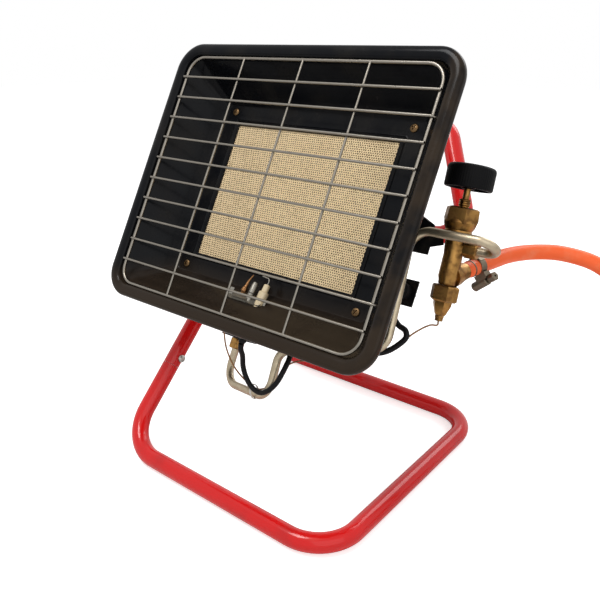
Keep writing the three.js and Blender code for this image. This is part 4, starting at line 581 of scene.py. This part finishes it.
ceramic = Finish("pierced_ceramic", Specular_IOR_Level=0.2)
panel_x, panel_z, _ = ceramic.parts(ceramic.node("ShaderNodeUVMap", {"uv_map": "panel_mm"}, {}))
row_pitch = HOLE_PITCH * math.sqrt(3) / 2
up_rows = panel_z / row_pitch
row = up_rows.math("FLOOR")
shifted = panel_x / HOLE_PITCH + row * 0.5
dx = (shifted - shifted.math("FLOOR") - 0.5) * HOLE_PITCH
dz = (up_rows - row - 0.5) * row_pitch
distance = (dx * dx + dz * dz).math("SQRT") + ceramic.noise(0.0021, 1.0) * 0.9 - 0.45
hole = 1.0 - distance.between(HOLE_R * 0.80, HOLE_R * 1.08)
clay = ceramic.mix(ceramic.noise(0.02, 4.0), (0.95, 0.76, 0.475), (0.85, 0.655, 0.39))
# Painted shade: the flame holes are painted nearly black for the shade inside them, on top of the bump
# that sinks them.
ceramic.set(Base_Color=ceramic.mix(hole, clay, (0.085, 0.050, 0.019)), Roughness=hole * 0.05 + 0.86)
ceramic.relief(1.0 - hole, 0.0006)
piece("pierced_plaque", plaque_mesh(), "head", ceramic, "plaque_ceramic", "ceramic_plaque")
fibre = Finish("ceramic_fibre", Specular_IOR_Level=0.1)
lint = fibre.noise(0.0012, 6.0)
fibre.set(Base_Color=fibre.mix(lint, (0.70, 0.67, 0.60), (0.54, 0.51, 0.45)),
          Roughness=lint * 0.1 + 0.88)
fibre.relief(lint, 0.0002)
dress("plaque_gasket", "head", fibre, "fibre_gasket", 0.4)
dress("burner_housing", "head", zinc_steel, "zinc_steel", 0.5)
dress("gas_baffle", "head", zinc_steel, "zinc_steel", 0.2)
SCREW_X, SCREW_Z, SCREW_R, SCREW_TIP = 110.0, 86.5, 4.1, 0.02
SHANK_R, SHANK_LENGTH, HEAD_EDGE, HEAD_DOME = 2.0, 9.0, 0.6, 1.4
CROSS_TURN, CROSS_DEPTH, ARM_HALF, ARM_END = 0.5, 1.2, (0.35, 0.6), (2.0, 2.6)


def screw_mesh(name, x, z):
    """Domed screw head with a cross recess, and its shank. On the head, height = dome(r) - recess,
    where the recess is deep near either arm of the cross and fades out at its ends."""
    turn = np.linspace(0, 2 * math.pi, 56, endpoint=False)
    ring = np.linspace(SCREW_R, SCREW_TIP, 22)[:, None]
    arm = np.minimum(abs(ring * np.cos(turn + CROSS_TURN)), abs(ring * np.sin(turn + CROSS_TURN)))
    recess = CROSS_DEPTH * (1 - eased(arm, *ARM_HALF)) * (1 - eased(ring, *ARM_END))
    dome = HEAD_EDGE + HEAD_DOME * np.sqrt(1 - (ring / SCREW_R) ** 2 * 0.98)
    shank = np.array([[SCREW_TIP, SHANK_LENGTH], [SHANK_R, SHANK_LENGTH], [SHANK_R, 0.0],
                      [SCREW_R, 0.0]])
    radius = np.concatenate([shank[:, :1], ring])
    depth = np.concatenate([np.broadcast_to(shank[:, 1:], (len(shank), len(turn))), recess - dome])
    return mesh_of(name, skin(on_head(np.stack([
        x + radius * np.cos(turn), PAN_DEPTH + depth, z + radius * np.sin(turn)], -1))))


screw_brass = metal("dull_screw_brass", (0.17, 0.105, 0.050), 0.30)
for number, (x, z) in enumerate([(-1, 1), (1, 1), (-1, -1), (1, -1)], 1):
    screw = screw_mesh(f"cross_screw_{number}", x * SCREW_X, z * SCREW_Z)
    piece(f"cross_screw_{number}", screw, "head", screw_brass, "brass", f"plate_screw_{number}")

# ------------------------------------------------------------------ guard
# Bright plated steel wire: a ring of 3.2 mm wire with ten level bars of 2.4 mm resistance-welded on
# its front and three uprights behind them. Two longer bars are cranked back into the rim's holes.
GUARD_HALF_W, GUARD_HALF_H, RING_BEND, RING_R, BAR_R = 150.0, 125.0, 18.0, 1.6, 1.2
BARS, BAR_PITCH, BAR_BACK = 10, 22.6, -2.7
UPRIGHT_PITCH, UPRIGHT_BACK, UPRIGHT_R = 75.0, -0.35, 1.14
CLIPPED_BARS, CLIP_BACK, CLIP_REACH = (1, 8), 2.2, 11.5
CRANK_START, CRANK_END, CRANK_BEND = 0.5, 4.5, 2.0


def wire(points, radius, bends=None, across=(0.0, 1.0, 0.0), closed=False):
    """A wire through corners in the head's frame, bent at them with the given radii."""
    path = bent(points, bends, 10) if bends else np.linspace(points[0], points[-1], 40)
    return bar(on_head(path[1:-1] if closed else path), radius * MM, 14, across, along=closed)


ring = wire([(0, 0, GUARD_HALF_H), (GUARD_HALF_W, 0, GUARD_HALF_H), (GUARD_HALF_W, 0, -GUARD_HALF_H),
             (-GUARD_HALF_W, 0, -GUARD_HALF_H), (-GUARD_HALF_W, 0, GUARD_HALF_H), (0, 0, GUARD_HALF_H)],
            RING_R, [RING_BEND] * 4, (0.03, 0.9, -0.4), True)
wires = [ring]
for number in range(BARS):
    level = ((BARS - 1) / 2 - number) * BAR_PITCH
    if number in CLIPPED_BARS:
        half = [(GUARD_HALF_W + CRANK_START, BAR_BACK, level),
                (GUARD_HALF_W + CRANK_END, CLIP_BACK, level),
                (GUARD_HALF_W + CLIP_REACH, CLIP_BACK, level)]
        other = [(-x, y, z) for x, y, z in reversed(half)]
        wires.append(wire(other + half, BAR_R, [CRANK_BEND] * 4))
    else:
        end = GUARD_HALF_W + RING_R
        wires.append(wire([(-end, BAR_BACK, level), (end, BAR_BACK, level)], BAR_R))
for x in (-UPRIGHT_PITCH, 0.0, UPRIGHT_PITCH):
    wires.append(wire([(x, UPRIGHT_BACK, -GUARD_HALF_H), (x, UPRIGHT_BACK, GUARD_HALF_H)], UPRIGHT_R,
                      across=(1.0, 0.0, 0.0)))
bright_wire = metal("bright_wire", (0.285, 0.262, 0.225), 0.20)
piece("wire_guard", mesh_of("wire_guard", *wires), "head", bright_wire, "guard_wire", "safety_guard")

# ------------------------------------------------------------------ pivot
# A black-painted channel on the chamber's back, two zinc-plated straps that hug the stand's pivot
# bar, and a bolt with a nut in each. The straps' grip holds the head at its tilt.
black_paint = Finish("black_paint", Specular_IOR_Level=0.15)
wear = black_paint.noise(0.009, 5.0).between(0.5, 0.8)
black_paint.set(Base_Color=black_paint.mix(wear, (0.006, 0.006, 0.007), (0.022, 0.017, 0.014)),
                Roughness=wear * 0.2 + 0.30)
black_paint.relief(black_paint.noise(0.002, 2.0), 0.00005)
dress("pivot_bracket", "head", black_paint, "black_paint", 0.4)
for side in ("left", "right"):
    dress(f"pivot_strap_{side}", "head", zinc_steel, "zinc_steel", 0.2, 25)
    dress(f"strap_bolt_{side}", "head", zinc_steel, "zinc_steel")
    dress(f"strap_nut_{side}", "head", zinc_steel, "zinc_steel")

# ------------------------------------------------------------------ gas valve
# A flame-failure valve of hot-pressed brass, dulled by handling: bonnet with a gland nut, barrel with
# outlet and inlet, and the magnet's housing below. The moulded knob turns and pushes the stem. A
# black steel bracket, whose pressed lip shows beside the barrel, carries it.
RIBS, RIB_DEPTH, RIB_SIDES = 60, 0.18, 6
KNOB_TOP, VALVE_AXIS = (0.0, 0.0, 0.0), (0.0, 0.0, 1.0)
LIP_FRONT, LIP_BACK = -16.6, -15.1


def knob_mesh():
    """A turned cap whose side is fluted: the radius drops by the rib depth times a raised cosine of
    the rib angle, between the round top edge and the plain skirt."""
    profile = np.array([
        [0, -0.9, 0], [7, -0.9, 0], [7.8, -0.5, 0], [8.6, -0.05, 0], [17.6, 0, 0], [19.4, -0.5, 0],
        [20.5, -1.7, 0.2], [21, -3.2, 1], [21, -12, 1], [21, -18.2, 1], [20.8, -19.3, 0.2],
        [20, -20, 0], [17.5, -20, 0], [17.5, -4, 0], [6, -4, 0], [6, -20, 0], [3.3, -20, 0],
        [3.3, -10, 0], [0, -10, 0]])
    turn = np.linspace(0, 2 * math.pi, RIBS * RIB_SIDES, endpoint=False)
    flute = RIB_DEPTH * (0.5 + 0.5 * np.cos(RIBS * turn)) ** 3
    radius = np.maximum(profile[:, :1], 0.02) - profile[:, 2:] * flute
    grid = np.stack([radius * np.cos(turn), radius * np.sin(turn),
                     np.broadcast_to(profile[:, 1:2], radius.shape)], -1)
    return mesh_of("fluted_knob", skin(on_valve(grid)))


piece("fluted_knob", knob_mesh(), "valve_turn", black_plastic, "black_plastic", "valve_knob")
dress("valve_stem", "valve_turn", brass, "zinc_steel")
dress("push_pin", "valve_push", zinc_steel, "zinc_steel", 0.1)
for node in ("gland_nut", "valve_body", "thermocouple_nut", "outlet_nut"):
    dress(node, "head", brass, "brass", 0.3)
bonnet_hex = turned([[-36.2, 6.0], [-36.2, 12.6], [-37.4, 14.9], [-46.5, 15.6], [-50, 14.6], [-52, 12],
                     [-52, 4.2], [-41.5, 4.2], [-41.5, 6.0]], KNOB_TOP, VALVE_AXIS, 6)
bonnet_bell = turned([[-46, 13.2], [-49.5, 14.1], [-52.5, 13.4], [-55.2, 11.9], [-56.2, 11.5],
                      [-57.0, 11.9], [-59.4, 11.9], [-59.7, 11.4], [-59.7, 3.5], [-46, 3.5]],
                     KNOB_TOP, VALVE_AXIS, 40)
piece("hexagon_bonnet", mesh_of("hexagon_bonnet", skin(on_valve(bonnet_hex), along=True),
                                skin(on_valve(bonnet_bell), along=True)),
      "head", brass, "brass", "valve_bonnet", crease=22)
magnet_hex = turned([[-105.1, 0], [-105.1, 11.2], [-106.3, 12.6], [-117.8, 12.6], [-119.2, 11.0],
                     [-119.2, 0]], KNOB_TOP, VALVE_AXIS, 6)
magnet_cone = turned([[-118.8, 0], [-118.8, 8.8], [-122.5, 8.5], [-130.6, 5.5], [-131.9, 4.6],
                      [-131.9, 0]], KNOB_TOP, VALVE_AXIS, 6)
piece("magnet_capsule", mesh_of("magnet_capsule", skin(on_valve(magnet_hex)),
                                skin(on_valve(magnet_cone))),
      "head", brass, "brass", "magnet_housing", crease=22)
shoulder = turned([[3, 0], [3, 11.0], [9.5, 10.4], [14.5, 8.9], [19.5, 8.0], [21.6, 7.8],
                   [22.2, 7.3], [22.2, 0]], along_inlet(0.0), inlet_way, 40)
piece("inlet_shoulder", mesh_of("inlet_shoulder", skin(on_valve(shoulder))), "head", brass,
      "brass", crease=30)
dress("valve_bracket", "head", black_paint, "black_paint", 0.3)
lip = np.array([(-49, -46), (-30.1, -49.5), (-16, -55.2), (-14.5, -58.5), (-6.5, -58.5), (-3.5, -71),
                (-15.5, -75), (-16, -82), (-33, -82), (-49, -80)], float)
lip_faces = np.stack([np.insert(lip, 1, y, axis=1) for y in (LIP_FRONT, LIP_BACK)])
piece("bracket_lip", mesh_of("bracket_lip", skin(on_valve(lip_faces))), "head", black_paint,
      "black_paint")

# ------------------------------------------------------------------ gas pipe
# Soft aluminium tube, 8 mm, bent by hand: out of the valve, round in front of it, down behind the
# reflector, along its lower edge and up into the injector.
PIPE_R, OUTLET_X, OUTLET_LEVEL = 4.0, 17.1, 71.0
PIPE_FORWARD, PIPE_RISE = 26.0, 4.0
_, outlet_y, outlet_z = outlet = turned_back((OUTLET_X, 0.0, -OUTLET_LEVEL), VALVE_AT, -VALVE_LEAN)
front_y, front_z = outlet_y - PIPE_FORWARD, outlet_z + PIPE_RISE
pipe_path = bent([
    outlet, (210.0, outlet_y, outlet_z), (209.0, front_y, front_z), (138.0, front_y, front_z),
    (147.5, 49.0, -110.0), (39.0, 52.0, -142.0), (40.0, 56.0, -189.0), (-39.0, 84.0, -193.0),
    (-40.0, 84.0, -153.0)], [13.0, 13.0, 17.0, 17.0, 14.0, 20.0, 20.0], 14)
aluminium = Finish("soft_aluminium", Metallic=1.0)
draw = aluminium.noise(0.005, 5.0)
aluminium.set(Base_Color=aluminium.mix(draw, (0.56, 0.48, 0.35), (0.34, 0.28, 0.19)),
              Roughness=draw * 0.2 + 0.30)
aluminium.relief(aluminium.noise(0.002, 3.0), 0.00006)
piece("bent_gas_pipe", mesh_of("bent_gas_pipe", bar(on_head(pipe_path), PIPE_R * MM, 24,
                                                    (0.21, 0.87, 0.43))),
      "head", aluminium, "aluminium_pipe", "gas_pipe")

# ------------------------------------------------------------------ mixing tube
# A folded steel tube with a flared mouth leads into the chamber. The brass injector stands in a
# black strap below the mouth, and its jet draws in air.
dress("mixing_tube", "head", zinc_steel, "zinc_steel", 0.2)
dress("injector_holder", "head", black_paint, "black_paint", 0.3)
dress("gas_injector", "head", brass, "brass", 0.15)
dress("pipe_nut", "head", brass, "brass", 0.25)

# ------------------------------------------------------------------ pilot
# A folded galvanised clip with a drawn hood, fixed on the reflector's lower wall. It holds the
# thermocouple's copper tip and the glazed spark electrode, whose bent pin points at the hood.
copper = metal("tarnished_copper", (0.27, 0.135, 0.058), 0.32)
glaze = Finish("cream_glaze", Specular_IOR_Level=0.5, Coat_Weight=0.4)
stain = glaze.noise(0.004, 4.0)
glaze.set(Base_Color=glaze.mix(stain, (0.84, 0.72, 0.50), (0.66, 0.52, 0.30)),
          Roughness=stain * 0.2 + 0.2)
rubber = Finish("black_rubber", Specular_IOR_Level=0.12)
bloom = rubber.noise(0.006, 4.0)
rubber.set(Base_Color=rubber.mix(bloom, (0.004, 0.004, 0.005), (0.010, 0.010, 0.011)),
           Roughness=bloom * 0.2 + 0.32)
galvanised = metal("galvanised_clip", (0.30, 0.285, 0.25), 0.34)
PILOT_TILT, PILOT_SHARE = math.radians(10.0), 0.34
TIP_X, ELECTRODE_X, SPARK_R = -13.0, 14.0, 0.65
pilot_way = np.array([0.0, math.sin(PILOT_TILT), math.cos(PILOT_TILT)])
pilot_foot = np.array([0.0, PAN_DEPTH - (PAN_DEPTH - WALL_END) * PILOT_SHARE,
                       -(WINDOW[1] + PAN_FLAT + (WALL_REACH - PAN_FLAT) * PILOT_SHARE)])


def by_pilot(x, along):
    """A point on the pilot's axis at x, so far along it from the reflector's wall."""
    return tuple(pilot_foot + pilot_way * along + [x, 0.0, 0.0])


rightward = np.array([1.0, 0.0, 0.0])
wall_way = unit(np.array([0.0, PAN_DEPTH - WALL_END, WALL_REACH - PAN_FLAT]))
on_wall = [rightward, wall_way, np.cross(rightward, wall_way)]
upright = [rightward, pilot_way, np.cross(rightward, pilot_way)]
clip = [slab(pilot_foot + on_wall[2] - rightward * 4.0, on_wall, [22.0, 5.4, 0.5]),
        slab(pilot_foot + on_wall[2] * 2.2 - rightward * 8.0, on_wall, [9.0, 4.2, 1.4]),
        slab(by_pilot(-25.0, 4.0), upright, [2.6, 4.4, 0.4]),
        slab(by_pilot(20.0, 1.5), upright, [1.4, 3.0, 0.4])]
hood = turned([[-2, 0], [-2, 3.4], [7, 3.4], [7.6, 3.0], [8.2, 3.4], [16.5, 3.3], [19, 2.4],
               [19.8, 0]], pilot_foot, pilot_way, 20)
piece("pilot_clip", mesh_of("pilot_clip", *[skin(on_head(plate)) for plate in clip],
                            skin(on_head(hood))),
      "head", galvanised, "zinc_steel", "pilot_bracket", crease=25)
sheath = curve([by_pilot(TIP_X, -10.0), by_pilot(-11.2, 3.0), by_pilot(-10.4, 8.5),
                by_pilot(-10.0, 12.0), by_pilot(-9.2, 19.0), by_pilot(-6.8, 26.0)], 6)
thinning = np.interp(np.linspace(0, 1, len(sheath)), [0, 0.3, 0.36, 0.55, 0.62, 0.82, 1],
                     [1.6, 1.8, 3.1, 2.9, 2.0, 1.1, 0.6])
piece("thermocouple_tip", mesh_of("thermocouple_tip",
                                  bar(on_head(sheath), thinning * MM, 18, (0, 1, 0))),
      "head", copper, "copper", "thermocouple_probe")
insulator = turned([[-26, 0], [-26, 2.6], [-6, 2.6], [-4, 4.4], [2.4, 4.4], [3, 3.6], [3.6, 4.9],
                    [11.6, 4.9], [12.2, 4.4], [12.4, 3.3], [19.4, 3.1], [20, 2.4], [20, 0]],
                   by_pilot(ELECTRODE_X, 0.0), pilot_way, 28)
piece("cream_insulator", mesh_of("cream_insulator", skin(on_head(insulator))), "head", glaze,
      "glazed_ceramic", "spark_electrode", crease=30)
pin = curve([by_pilot(ELECTRODE_X, 18), by_pilot(ELECTRODE_X, 24), by_pilot(12.5, 26.2),
             by_pilot(9, 26.8), by_pilot(4.5, 27.2)], 6)
piece("spark_wire", mesh_of("spark_wire", bar(on_head(pin), SPARK_R * MM, 12, (0, 1, 0))), "head",
      galvanised, "zinc_steel", "spark_pin")
dress("electrode_boot", "head", rubber, "black_rubber", 0.3)

# ------------------------------------------------------------------ igniter
# A push-button spark generator in a moulded black case, held by a plastic nut in a black steel
# plate beside the chamber. Its button rides on its own body.
dress("igniter_bracket", "head", black_paint, "black_paint", 0.2)
dress("igniter_body", "head", black_plastic, "black_plastic", 0.3)
dress("igniter_nut", "head", black_plastic, "black_plastic", 0.3)
dress("igniter_button", "igniter_push", black_plastic, "black_plastic", 0.3)

# ------------------------------------------------------------------ leads
# The thermocouple's thin copper capillary and the rubber-sheathed ignition lead follow the gas pipe
# and hang in a loop with it, tied to it with a white nylon tie at its lowest point.
CAPILLARY_R, LEAD_R, LEAD_SIDE = 0.8, 2.6, (0.35, 0.70, 0.62)
IGNITER_FACE, SOCKET_REACH, SOCKET_Z = 103.5, 36.3, -52.0
TIE_AT, TIE_WIDTH, TIE_HEIGHT = [20.0, 58.6, -187.6], 1.15, 0.72
nut_end = turned_back([(0, 0, -137.6), (0, 0, -141.0)], VALVE_AT, -VALVE_LEAN)
capillary = [*nut_end, (164, 84, -77), (156, 73, -89), (149, 68, -102),
             (131, 63, -118), (110, 60, -129), (80, 63, -138), (56, 65, -145), (46, 65, -151),
             (41, 63.5, -158), (37.5, 63, -170), (29, 62, -181), (20, 60.8, -184.6), (6, 56, -180),
             (-7, 50, -171), (-17, 44, -158), (-22, 40, -146), (-20, 33, -136),
             by_pilot(TIP_X, -18), by_pilot(TIP_X, -10.3)]
piece("capillary", mesh_of("capillary", bar(on_head(curve(capillary, 10)), CAPILLARY_R * MM, 12,
                                            LEAD_SIDE)),
      "head", copper, "copper", "thermocouple_lead")
igniter_low, igniter_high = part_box("igniter_body")
igniter_x = (igniter_low.x + igniter_high.x) / 2 / MM
socket_y = IGNITER_FACE - SOCKET_REACH
spark_lead = [(igniter_x, socket_y, SOCKET_Z), (igniter_x, socket_y - 6, SOCKET_Z), (127, 57, -65),
              (138, 58, -78), (147, 59, -86), (155, 59, -89), (157.5, 59, -94),
              (153, 59, -102), (142, 59, -112), (122, 59.5, -119), (92, 60, -128), (64, 60, -137),
              (50, 57, -142), (51.5, 53, -149), (51.5, 50, -160), (49, 49, -171), (42, 50, -180.5),
              (32.5, 51.5, -185.5), (22.6, 51, -184), (14.7, 48, -177.5), (10, 43, -167.5),
              (11.5, 35, -157), (13.5, 27, -151), by_pilot(ELECTRODE_X, -41.3)]
piece("spark_lead", mesh_of("spark_lead", bar(on_head(curve(spark_lead, 10)), LEAD_R * MM, 18,
                                              LEAD_SIDE)),
      "head", rubber, "black_rubber", "ignition_lead")
nylon = Finish("white_nylon", Specular_IOR_Level=0.4)
cloud = nylon.noise(0.003, 3.0)
nylon.set(Base_Color=nylon.mix(cloud, (0.62, 0.61, 0.57), (0.48, 0.46, 0.42)),
          Roughness=cloud * 0.1 + 0.4)
tie_turn = np.linspace(0, 2 * math.pi, 40, endpoint=False)[:, None]
tie_oval = (TIE_WIDTH * np.cos(tie_turn) * [0.0, -0.71, 0.70]
            + TIE_HEIGHT * np.sin(tie_turn) * [0.0, 0.70, 0.71])
tie_section = np.array([[-1.0, 7.0], [1.0, 7.0], [1.0, 7.6], [-1.0, 7.6]])[:, :, None, None]
tie = TIE_AT + tie_oval * tie_section[:, 1] + tie_section[:, 0] * rightward
piece("lead_tie", mesh_of("lead_tie", skin(on_head(tie), along=True)), "head", nylon,
      "white_plastic", "cable_tie")

# ------------------------------------------------------------------ studio
# A plain pale floor, whose glow only the camera sees, under a surround that is white to the camera
# and in reflections and dim to the rest. Four soft lamps light the object; one is a dim warm card
# above, whose reflection adds to the brown that is painted into the enamel's lower wall.
FLOOR_HALF, FLOOR_Z = 6.0, -0.0006
SURROUND_DIM, SURROUND_WHITE = 0.42, 1.0
AIM = (0.0, 0.1, 0.2)
ground = Finish("pale_floor", Base_Color=(0.90, 0.90, 0.90), Roughness=0.9, Specular_IOR_Level=0.1,
                Emission_Strength=0.64)
in_view = ground.node("ShaderNodeLightPath", {}, {}, "Is Camera Ray")
ground.set(Emission_Color=ground.mix(in_view, (0.0, 0.0, 0.0), (1.0, 1.0, 1.0)))
floor_mesh = bpy.data.meshes.new("floor")
floor_mesh.from_pydata([(x * FLOOR_HALF, y * FLOOR_HALF, FLOOR_Z)
                        for x, y in ((-1, -1), (1, -1), (1, 1), (-1, 1))], [], [(0, 1, 2, 3)])
floor_mesh.materials.append(ground.material)
floor = bpy.data.objects.new("floor", floor_mesh)
bpy.context.scene.collection.objects.link(floor)


class Surround(Finish):
    """The white surround: the world's own nodes, joined in the same way as a finish's."""

    def __init__(self, name):
        world = bpy.data.worlds.new(name)
        bpy.context.scene.world = world
        world.use_nodes = True
        self.tree = world.node_tree
        self.shader = self.tree.nodes["Background"]

    def rays(self, kind):
        """1 for the rays of a kind, 0 for the others."""
        return self.node("ShaderNodeLightPath", {}, {}, kind)


surround = Surround("surround")
shown = (surround.rays("Is Camera Ray") + surround.rays("Is Transmission Ray")
         + surround.rays("Is Glossy Ray"))
surround.set(Color=(1.0, 1.0, 1.0), Strength=surround.node(
    "ShaderNodeMapRange", {}, {"Value": shown, "To Min": SURROUND_DIM, "To Max": SURROUND_WHITE}))


def lamp(name, place, size, power, colour=(1.0, 1.0, 1.0)):
    """A square soft lamp at a place, turned to face the aim."""
    light = bpy.data.lights.new(name, "AREA")
    light.size, light.energy, light.color = size, power, colour
    made = bpy.data.objects.new(name, light)
    back = unit(np.subtract(place, AIM))
    side = unit(np.cross((0.0, 0.0, 1.0), back))
    turn = np.stack([side, np.cross(back, side), back], 1)
    made.location = place
    made.rotation_euler = Matrix(turn.tolist()).to_euler()
    bpy.context.scene.collection.objects.link(made)


lamp("key", (-0.35, -0.55, 1.95), 0.7, 19.0)
lamp("fill", (1.3, -0.7, 1.0), 1.7, 7.0)
lamp("rear", (0.2, 1.3, 1.2), 0.8, 7.0)
lamp("warm_card", (0.1, -0.6, 1.9), 1.0, 2.5, (1.0, 0.72, 0.5))
bpy.context.scene.view_settings.view_transform = "Standard"
